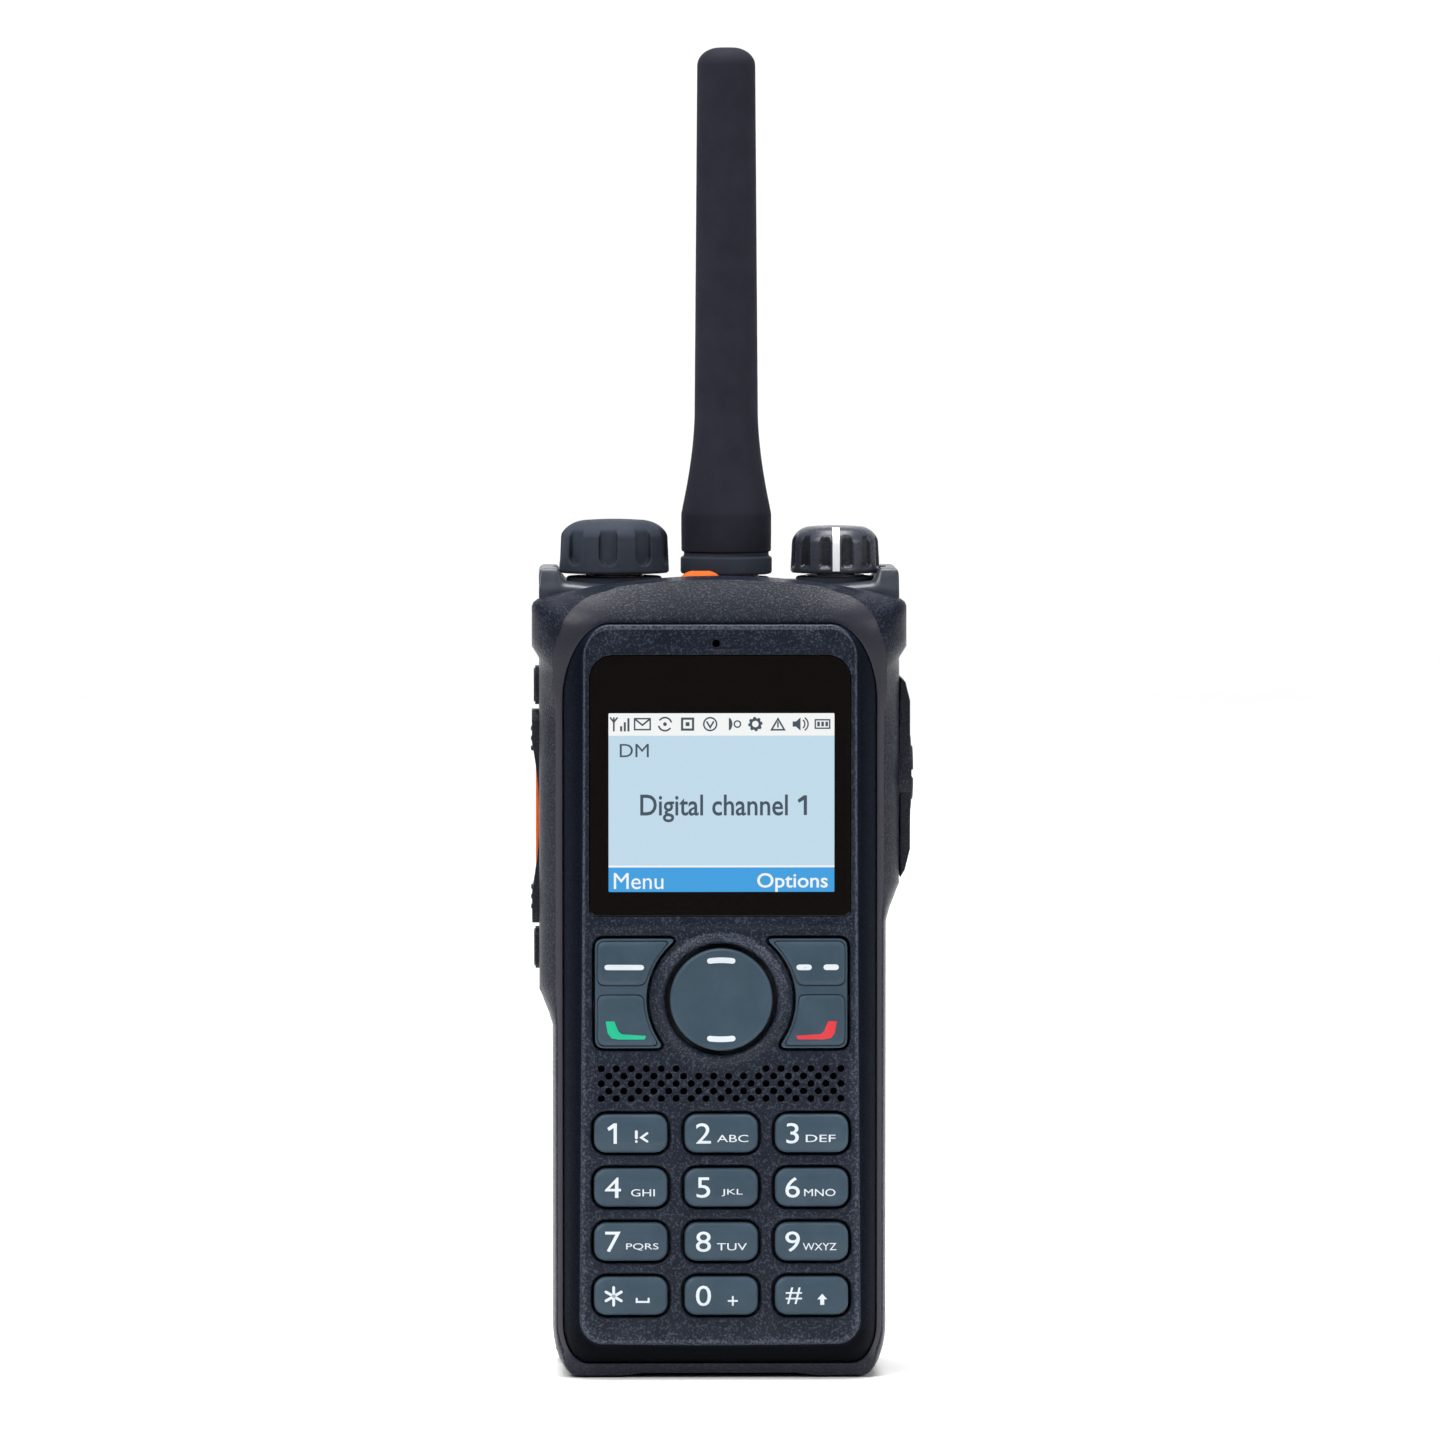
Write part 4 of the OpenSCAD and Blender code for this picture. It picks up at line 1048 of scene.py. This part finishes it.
def make_window():
    """The glossy black window, with a shallow opening over the lit display."""
    outline = window_outline()
    front = window_low[1]
    opening = round_box(SCREEN_LOW, SCREEN_HIGH, (0.15, 0.15), (0.15, 0.15), 2)
    rings = [at_depth(grown(outline, -0.02), window_high[1]), at_depth(outline, front + 0.14)]
    points, faces = skin(rings)
    body = points, faces + [tuple(range(len(outline) - 1, -1, -1))]
    edge = [(outline, front + 0.14), (grown(outline, -0.06), front + 0.03), (grown(outline, -0.14), front)]
    sheet = pierced_sheet(edge[0], edge[1:] + [(opening, front)], [opening])
    wall = skin([at_depth(opening, front), at_depth(opening, front + 0.3)])
    build("window", joined(body, sheet, wall), window_black, "radio", ["display_window"])


def status_icons():
    """Ten small pictures, each a list of shapes about its own middle."""
    signal = [bar(0.05 + 0.55 * i, -1.1, 0.32, 0.8 + 0.6 * i) for i in range(3)]
    aerial = [line([(-0.9, -1.0), (-0.9, 0.95)], 0.26), line([(-1.4, 0.95), (-0.9, 0.3), (-0.4, 0.95)], 0.26)]
    envelope = [band(square((-1.3, -0.95), (1.3, 0.95)), 0.24),
                line([(-1.1, 0.75), (0, -0.15), (1.1, 0.75)], 0.26)]
    scan = [line(arc((0, 0), (1.0, 1.0), turn, turn + 120, 8), 0.26) for turn in (20, 200)]
    tile = [band(square((-1, -1), (1, 1)), 0.34), bar(-0.3, -0.3, 0.6, 0.6)]
    tick = [band(circle((0, 0), 1.1, 20), 0.24), line([(-0.5, 0.35), (0, -0.5), (0.5, 0.35)], 0.26)]
    head = [plate(arc((-0.6, 0), (0.55, 0.95), -90, 90, 8)), band(circle((0.7, 0), 0.6, 14), 0.22)]
    teeth = [((1.1, 1.1, 0.85)[i % 3], math.radians(15 * i)) for i in range(24)]
    gear = plate([(r * math.cos(a), r * math.sin(a)) for r, a in teeth], circle((0, 0), 0.5, 12)[::-1])
    warning = [band([(-1.2, -1), (1.2, -1), (0, 1.05)], 0.26), line([(0, -0.45), (0, 0.25)], 0.24)]
    horn = plate([(-1.2, -0.4), (-0.7, -0.4), (0, -1), (0, 1), (-0.7, 0.4), (-1.2, 0.4)])
    waves = [line(arc((0.1, 0), reach, -55, 55, 5), 0.22) for reach in ((0.55, 0.7), (1.05, 1.1))]
    battery = band(square((-1.3, -0.75), (1.1, 0.75)), 0.22)
    cells = [bar(-0.9 + 0.62 * i, -0.35, 0.4, 0.7) for i in range(3)]
    scan.append(plate(circle((0, 0), 0.3, 10)))
    loudspeaker, charge = [horn] + waves, [battery] + cells
    return [aerial + signal, envelope, scan, tile, tick, head, [gear], warning, loudspeaker, charge]


def make_screen():
    """The lit areas, the row of status icons and the words."""
    depth = window_low[1] + 0.06
    x0, width = SCREEN_LOW[0], SCREEN_HIGH[0] - SCREEN_LOW[0]
    for name, low, high, material in (("screen_main", SCREEN_BAR, SCREEN_STATUS, screen_blue),
                                      ("screen_status", SCREEN_STATUS, SCREEN_HIGH[1], screen_white),
                                      ("screen_bar", SCREEN_LOW[1], SCREEN_BAR, screen_bar_blue)):
        build(name, laid_on(bar(x0, low, width, high - low), depth, 0, 0.15), material, "radio")

    icons = status_icons()
    pitch = width / len(icons)
    dark = [moved(joined(*icon), (x0 + pitch * (i + 0.5), 99.75)) for i, icon in enumerate(icons)]
    dark += [letters("Digital channel", (0, 86.97), 4.2, span=(-12.1, 10.25), bold=0.012),
             moved(one(3.0), (12.55, 87.45)), letters("DM", (0, 95.75), 2.0, span=(-15.2, -10.8))]
    build("screen_dark_marks", laid_on(joined(*dark), depth, 0.02, 0.02), screen_ink, "radio")
    light = [letters("Menu", (0, 75.95), 2.45, span=(-16.1, -8.6)),
             letters("Options", (0, 75.7), 2.9, span=(5.6, 16.3), bold=0.01), bar(x0, 78.05, width, 0.25)]
    build("screen_light_marks", laid_on(joined(*light), depth, 0.02, 0.02), screen_white, "radio")


make_window()
make_screen()


# ------------------------------------------------------------------ knobs, antenna and deck

HORN = 2.0                                      # height of the horns over the deck
BUTTON, LIGHT = (-2.8, -5.6), (3.0, -5.6)       # emergency button and status light on the deck
CHANNEL_R, VOLUME_R = 8.4, 6.82                 # the knobs, at their feet
FRAME_FOOT = 119.2                              # where the rings round the button and the light start
# width and drop of the deck's rolled edge at its front, its rear and its sides
DECK_ROLLS = ((2.3, 1.6), (2.0, 1.6), (0.9, 0.8))


def turned(profile, centre, steps):
    """Rings about an upright axis, from (radius, height) pairs."""
    return [[(centre[0] + r * math.cos(a), centre[1] + r * math.sin(a), z)
             for a in np.linspace(0, 2 * math.pi, steps, endpoint=False)] for r, z in profile]


def dome_profile(radius, low, top, round_x, round_z, side_steps):
    """(radius, height) pairs up a knob's side and over its rounded top edge."""
    shoulder, foot, dish = radius - 0.22, 0.4, 0.15
    heights = np.linspace(low + foot, top - round_z, side_steps)
    side = [(radius + (shoulder - radius) * i / (side_steps - 1), z) for i, z in enumerate(heights)]
    edge = [(shoulder - round_x * (1 - math.cos(a)), top - round_z + (round_z - dish) * math.sin(a) ** 1.25)
            for a in np.linspace(0, math.pi / 2, 11)[1:]]
    middle = [(shoulder - round_x) * t for t in (0.8, 0.5, 0.25, 0.01)]
    return [(radius - 0.3, low), (radius - 0.08, low + foot * 0.4)] + side + edge + [
        (r, top - dish * (r / (shoulder - round_x)) ** 2) for r in middle]


def fluted(profile, centre, steps, depth_at, deepest):
    """A lathe form whose wall is cut in by depth_at(angle, height), and the painted shade on the cuts' walls.
    """
    core = max(r for r, _ in profile)
    rings, shades = [], []
    for r, z in profile:
        ring = []
        for a in np.linspace(0, 2 * math.pi, steps, endpoint=False):
            cut = depth_at(a, z)
            radius = min(r, core - cut)
            ring.append((centre[0] + radius * math.cos(a), centre[1] + radius * math.sin(a), z))
            # painted shade on the walls of the cuts, darkest halfway in
            t = cut / deepest
            shades.append(min(4 * t * (1 - t), 1.0) * (radius < r - 0.02) * 0.9)
        rings.append(ring)
    return loft(rings), {"painted_shade_area": shades}


def from_flute(angle, first, count, radius):
    """How far a direction is, along a knob's wall, from the middle of the nearest of its flutes."""
    step = 2 * math.pi / count
    return abs((angle - first + step / 2) % step - step / 2) * radius


def make_knob(name, shaft, profile, steps, depth_at, deepest, material):
    shape, shades = fluted(profile, middle_of(shaft, "xy"), steps, depth_at, deepest)
    build(name + "_body", shape, material, name, [name], crease=50, masks=shades)


def make_channel_knob():
    low, high = place("channel_knob")
    foot, half = low[2], 1.5

    def depth_at(angle, z):
        across = from_flute(angle, math.radians(-97), 9, CHANNEL_R)
        below = min(z - (foot + 1.2 + half), 0)
        return 0.85 * float(smooth(half - math.hypot(across, below), -0.05, 0.24))

    profile = dome_profile(CHANNEL_R, foot, high[2], 4.1, 2.7, 34)
    make_knob("channel_knob", "channel_shaft", profile, 432, depth_at, 0.85, knob_rubber)


def volume_profile():
    low, high = place("volume_knob")
    return dome_profile(VOLUME_R, low[2], high[2], 2.9, 2.5, 16)


def make_volume_knob():
    foot = place("volume_knob")[0][2]

    def depth_at(angle, z):
        across = from_flute(angle, math.radians(-75), 12, VOLUME_R)
        return 0.62 * float(smooth(1.2 - across, 0, 0.7) * smooth(z, foot + 0.8, foot + 1.3))

    make_knob("volume_knob", "volume_shaft", volume_profile(), 288, depth_at, 1.0, volume_rubber)


def make_volume_index():
    """The white line let into the volume knob's front."""
    low = place("volume_pointer")[0]
    (x, middle), half = middle_of("volume_shaft", "xy"), 0.56
    rings = []
    for r, z in volume_profile():
        if z > low[2] + 0.1 and r > 4.1:
            y = middle - r - 0.03
            rings.append([(x - half, y + 0.9, z - 0.25), (x - half, y + 0.06, z), (x - half + 0.1, y, z),
                          (x + half - 0.1, y, z), (x + half, y + 0.06, z), (x + half, y + 0.9, z - 0.25)])
    build("volume_index", loft(rings), ink, "volume_knob", ["volume_pointer"])


def make_antenna():
    low, high = place("antenna_sheath")
    centre = middle_of("antenna_sheath", "xy")
    foot, tip = low[2], high[2]
    neck, shaft, end = 6.9, 4.85, 4.45
    profile = [(6.55, foot), (6.8, foot + 0.12), (6.87, foot + 0.4), (neck, foot + 3), (neck, foot + 5.6),
               (neck - 0.04, foot + 6.0), (neck - 0.13, foot + 6.4)]
    profile += [(shaft + (neck - 0.1 - shaft) * (1 - t) ** 1.7, foot + 6.4 + 15 * t)
                for t in np.linspace(0.04, 1, 18)]
    profile += [(shaft - (shaft - end) * t, foot + 21.4 + (tip - foot - 24.2) * t)
                for t in (0.2, 0.4, 0.6, 0.8, 1)]
    profile += [(end - 3.5 * (1 - math.cos(a)), tip - 2.8 + 2.8 * math.sin(a))
                for a in np.linspace(0, math.pi / 2, 12)[1:]]
    profile += [(0.02, tip)]
    whip = loft(turned(profile, centre, 96))
    build("antenna_whip", whip, antenna_rubber, "antenna", ["antenna_sheath"])
    low, high = place("antenna_ring")
    foot = low[2]
    profile = [(5.0, foot), (6.5, foot), (6.85, foot + 0.12), (7.0, foot + 0.4), (7.0, foot + 2.35),
               (6.9, foot + 2.6), (6.6, foot + 2.75), (6.5, foot + 2.95), (6.5, high[2]), (5.0, high[2])]
    collar = loft(turned(profile, centre, 96))
    build("antenna_collar", collar, knob_rubber, "antenna", ["antenna_ring"])


def make_collar(name, node, inner, outer, top):
    """The raised ring on the deck round a control's bush."""
    centre = middle_of(node, "xy")
    foot = place("top_cover")[1][2] - 2.6
    profile = [(inner, foot), (outer, foot), (outer, top - 0.35), (outer - 0.12, top - 0.1),
               (outer - 0.4, top), (inner + 0.3, top), (inner, top - 0.25), (inner, foot)]
    build(name, skin(turned(profile, centre, 72)), knob_rubber, "radio")


def ring_round(name, outline, width, top):
    """A raised ring of a width round an opening in the deck, given by its outline in x and y."""
    wide, soft = grown(outline, width), 0.12
    levels = [(outline, FRAME_FOOT), (wide, FRAME_FOOT), (wide, top - soft),
              (grown(outline, width - soft), top),
              (grown(outline, soft), top), (outline, top - soft), (outline, FRAME_FOOT)]
    build(name, skin([[(x, y, z) for x, y in ring] for ring, z in levels]), knob_rubber, "radio")


def deck_rise(x, y, front, knobs):
    """How far the deck stands up at a point: two horns and low shoulders, dished under the knobs."""
    rise = float(smooth(abs(x), 22.9, 24.7)) ** 1.6 * HORN
    rise *= float(smooth(y, front + 0.1, front + 1.7) * smooth(y, 12.6, 10.4))
    rise += 0.45 * float(smooth(abs(x), 17, 24) * smooth(y, 14, 10))
    for centre, seat in knobs:
        rise = min(rise, 0.25 + max(math.hypot(x - centre[0], y - centre[1]) - seat, 0) * 6)
    return rise


def rolled(distances):
    """How far the deck falls off, from a point's distances to its front, its rear and its side."""
    falls = []
    for distance, (width, drop) in zip(distances, DECK_ROLLS):
        t = min(max(1 - distance / width, 0), 1)
        falls.append(drop * (1 - math.sqrt(1 - t * t)))
    return max(falls)


def border(rows, columns):
    """The numbers of the points round a grid, anticlockwise."""
    last = (rows - 1) * columns
    return (list(range(columns)) + [i * columns + columns - 1 for i in range(1, rows)]
            + list(range(last + columns - 2, last - 1, -1)) + [i * columns for i in range(rows - 2, 0, -1)])


def make_deck():
    """The top cover: a deck with rolled edges, two horns beside the knobs and dished seats under them."""
    low, high = place("top_cover")
    front, rear, half, corner = low[1], high[1], high[0], 5.0
    knobs = [(middle_of("channel_shaft", "xy"), 8.9), (middle_of("volume_shaft", "xy"), 7.35)]
    side = np.concatenate([np.linspace(0, 19, 17), np.linspace(19.4, 26, 22), np.linspace(26.15, 27.4, 9)])
    across = np.concatenate([-side[:0:-1], side]) / side[-1]
    along = np.concatenate([np.linspace(front, -5.4, 16), np.linspace(-5, 9, 22), np.linspace(9.3, 14.5, 14),
                            np.linspace(14.8, rear, 12)])
    points = []
    for y in along:
        reach = half - corner + math.sqrt(max(corner ** 2 - max(y - (rear - corner), 0) ** 2, 0))
        for u in across:
            x = u * reach
            fall = rolled((y - front, rear - y, reach * (1 - abs(u))))
            points.append((x, y, high[2] - HORN + deck_rise(x, y, front, knobs) - fall))

    # faces, apart from those over the controls and the light
    count = len(across)
    seats = [(centre, 4.4) for centre, _ in knobs]
    seats += [(middle_of("antenna_stud", "xy"), 4.8), (np.array(LIGHT), 1.0)]
    faces = []
    for i, j in ((i, j) for i in range(len(along) - 1) for j in range(count - 1)):
        corners = [i * count + j, i * count + j + 1, (i + 1) * count + j + 1, (i + 1) * count + j]
        middle = np.mean([points[k][:2] for k in corners], axis=0)
        button = np.abs(middle - BUTTON) - (1.3, 0)
        if all(math.hypot(*(middle - c)) > r for c, r in seats) and math.hypot(*np.maximum(button, 0)) > 1.7:
            faces.append(tuple(corners))
    edge = [points[k] for k in border(len(along), count)]
    skirt = skin([edge, [(x, y, low[2]) for x, y, _ in edge]])
    build("top_deck", joined((points, faces), skirt), deck, "radio", ["top_cover"], (0, 0, 1), 50)


def make_emergency_button():
    low, high = place("emergency_button")
    centre, size = middle_of("emergency_button", "xy"), (high - low)[:2]
    rings = [(0, low[2]), (0, high[2] - 1.15), (0.1, high[2] - 0.85), (0.35, high[2] - 0.58),
             (0.7, high[2] - 0.34), (1.15, high[2] - 0.14), (1.6, high[2])]
    outlines = [pill(centre, size[0] - 2 * d, size[1] - 2 * d, size[1] / 2 - d - 0.01, 8) for d, _ in rings]
    shape = [[(x, y, z) for x, y in outline] for outline, (_, z) in zip(outlines, rings)]
    build("emergency_cap", loft(shape), orange, "emergency_button", ["emergency_button"])


make_channel_knob()
make_volume_knob()
make_volume_index()
make_antenna()
make_deck()
make_emergency_button()
ring_round("button_frame", pill(BUTTON, 6.5, 3.7, 1.8, 8), 0.45, 120.75)
ring_round("light_frame", circle(LIGHT, 1.4, 24), 0.35, 120.7)
for name, node, inner, outer, top in (
        ("channel_collar", "channel_shaft", 4.7, 7.3, 121.5),
        ("volume_collar", "volume_shaft", 4.7, 6.0, 121.5),
        ("antenna_base", "antenna_ring", 5.2, 6.7, 121.3)):
    make_collar(name, node, inner, outer, top)


# ------------------------------------------------------------------ side keys

def side_pad(outline, x, steps):
    """A low pad on a side face at x, from an outline in y and z and (inset, depth) steps."""
    return loft([[(x + depth, y, z) for y, z in grown(outline, -inset)] for inset, depth in steps])


def make_grip_ribs():
    """Three low ribs above and below the insert of the push-to-talk key."""
    low = place("ptt_button")[0]
    insert_low, insert_high = place("ptt_insert")
    middle = middle_of("ptt_button", "yz")[0]
    away = [2.2 + 1.5 * i for i in range(3)]
    heights = [insert_high[2] + d for d in away] + [insert_low[2] - d for d in away]
    steps = ((0, 0.9), (0, 0.02), (0.08, -0.1), (0.2, -0.15))
    ribs = [side_pad(pill((middle, z), 3.4, 0.7, 0.34, 5), low[0], steps) for z in heights]
    build("ptt_ribs", joined(*ribs), side_rubber, "ptt_button")


def make_talk_insert():
    """The insert of the push-to-talk key, a little proud of the finger's hollow."""
    low, high = place("ptt_insert")
    outline = pill(middle_of("ptt_insert", "yz"), *(high - low)[1:], 1.5, 6)
    steps = ((0, 0.65), (0, 0.05), (0.06, -0.06), (0.2, -0.13), (0.45, -0.16))
    insert = side_pad(outline, low[0], steps)
    build("ptt_talk_insert", insert, orange, "ptt_button", ["ptt_insert"])


make_grip_ribs()
make_talk_insert()


# ------------------------------------------------------------------ carried-over CAD nodes

def finish_node(node, material, width):
    """A CAD node that stays, with its material and rounded edges."""
    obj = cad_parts[node]
    obj.data.materials.clear()
    obj.data.materials.append(material)
    weld = obj.modifiers.new("weld", "WELD")
    weld.merge_threshold = 0.002 * MM
    if width:
        flat = obj.modifiers.new("flats", "DECIMATE")
        flat.decimate_type = "DISSOLVE"
        flat.angle_limit = FLAT_ANGLE
        bevel_edges(obj, width)
    even_normals(obj)


for material, width, nodes in (
        (seal_orange, 0.15, ("panel_gasket",)),
        (aluminium, 0.3, ("chassis",)),
        (window_black, 0.1, ("lcd_panel",)),
        (white_frame, 0.1, ("backlight_frame",)),
        (silicone, 0.1, ("keypad_mat",)),
        (board_green, 0.0, ("keypad_board", "main_board", "side_switch_board")),
        (steel, 0.2, ("shield_cans", "channel_encoder", "volume_control")),
        (knob_rubber, 0.2, ("speaker",)),
        (black_cloth, 0.0, ("grille_cloth",)),
        (black_cloth, 0.1, ("microphone",)),
        (steel, 0.0, ("channel_shaft", "volume_shaft")),
        (brass, 0.1, ("antenna_stud", "antenna_socket")),
        (copper, 0.0, ("antenna_coil",)),
        (light_pipe, 0.2, ("status_light",)),
        (side_rubber, 0.4, ("ptt_button",)),
        (side_rubber, 0.3, ("side_key_upper", "side_key_lower", "accessory_cover")),
        (knob_rubber, 0.15, ("cover_screw",)),
        (gold, 0.05, ("accessory_contacts", "battery_contacts")),
        (rear, 0.3, ("battery_plate",)),
        (cell_wrap, 0.4, ("battery_cells",)),
        (side_rubber, 0.25, ("battery_latch",)),
        (steel, 0.1, ("screws",))):
    for node in nodes:
        finish_node(node, material, width)


# ------------------------------------------------------------------ studio

def area_light(name, spot, target, size, power):
    """A square light at a spot, in metres, that looks at a target."""
    data = bpy.data.lights.new(name, "AREA")
    data.energy = power
    data.size = size
    lamp = linked(name, data)
    lamp.location = spot
    lamp.rotation_euler = (Vector(target) - Vector(spot)).to_track_quat("-Z", "Y").to_euler()


def make_backdrop():
    """A pale floor that curves up behind the object."""
    radius, depth, height = 0.6, 2.6, 2.6
    path = [(-0.3, 0.0), (depth - radius, 0.0)]
    path += [(depth - radius + radius * math.sin(a), radius * (1 - math.cos(a)))
             for a in np.linspace(0, math.pi / 2, 13)[1:]]
    path += [(depth, height)]
    points = [(side * 3.0, y, z) for y, z in path for side in (-1, 1)]
    faces = [(2 * i, 2 * i + 1, 2 * i + 3, 2 * i + 2) for i in range(len(path) - 1)]
    mesh = bpy.data.meshes.new("backdrop")
    mesh.from_pydata(points, [], faces)
    mesh.polygons.foreach_set("use_smooth", [True] * len(faces))
    material, tree, shader, where = new_material("backdrop_paper")
    paper = mixed(tree, noise(tree, where, 0.01, 2), (0.88, 0.88, 0.88), (0.92, 0.92, 0.92))
    tree.links.new(paper, shader.inputs["Base Color"])
    shader.inputs["Roughness"].default_value = 0.9
    mesh.materials.append(material)
    linked("backdrop", mesh)


def make_camera():
    """It looks at the object's middle from 3 degrees above it and 1 degree towards -X."""
    azimuth, elevation, distance = math.radians(-1.0), math.radians(3.0), 1.6
    target = Vector((0, -0.016, 0.1003))
    back = Vector((math.sin(azimuth) * math.cos(elevation), -math.cos(azimuth) * math.cos(elevation),
                   math.sin(elevation)))
    data = bpy.data.cameras.new("camera")
    data.sensor_width = 36
    data.lens = 264.1
    data.clip_start, data.clip_end = 0.05, 20
    camera = linked("camera", data)
    camera.location = target + back * distance
    camera.rotation_euler = (-back).to_track_quat("-Z", "Y").to_euler()
    bpy.context.scene.camera = camera


def make_world():
    world = bpy.data.worlds.new("studio")
    world.use_nodes = True
    background = world.node_tree.nodes["Background"]
    background.inputs["Color"].default_value = (1, 1, 1, 1)
    seen = world.node_tree.nodes.new("ShaderNodeLightPath").outputs["Is Camera Ray"]
    world.node_tree.links.new(spread(world.node_tree, seen, 0.14, 1.0, 0, 1), background.inputs["Strength"])
    bpy.context.scene.world = world
    bpy.context.scene.view_settings.view_transform = "Standard"


make_backdrop()
make_world()
area_light("key_light", (-0.9, -1.0, 1.4), (0, 0, 0.1), 0.9, 24)
area_light("fill_light", (1.2, -1.0, 0.8), (0, 0, 0.1), 0.8, 10)
area_light("top_light", (0.0, 0.1, 1.5), (0, 0, 0.1), 1.0, 16)
area_light("paper_light", (0.0, 0.2, 2.0), (0, 1.3, 0.6), 1.5, 50)
make_camera()
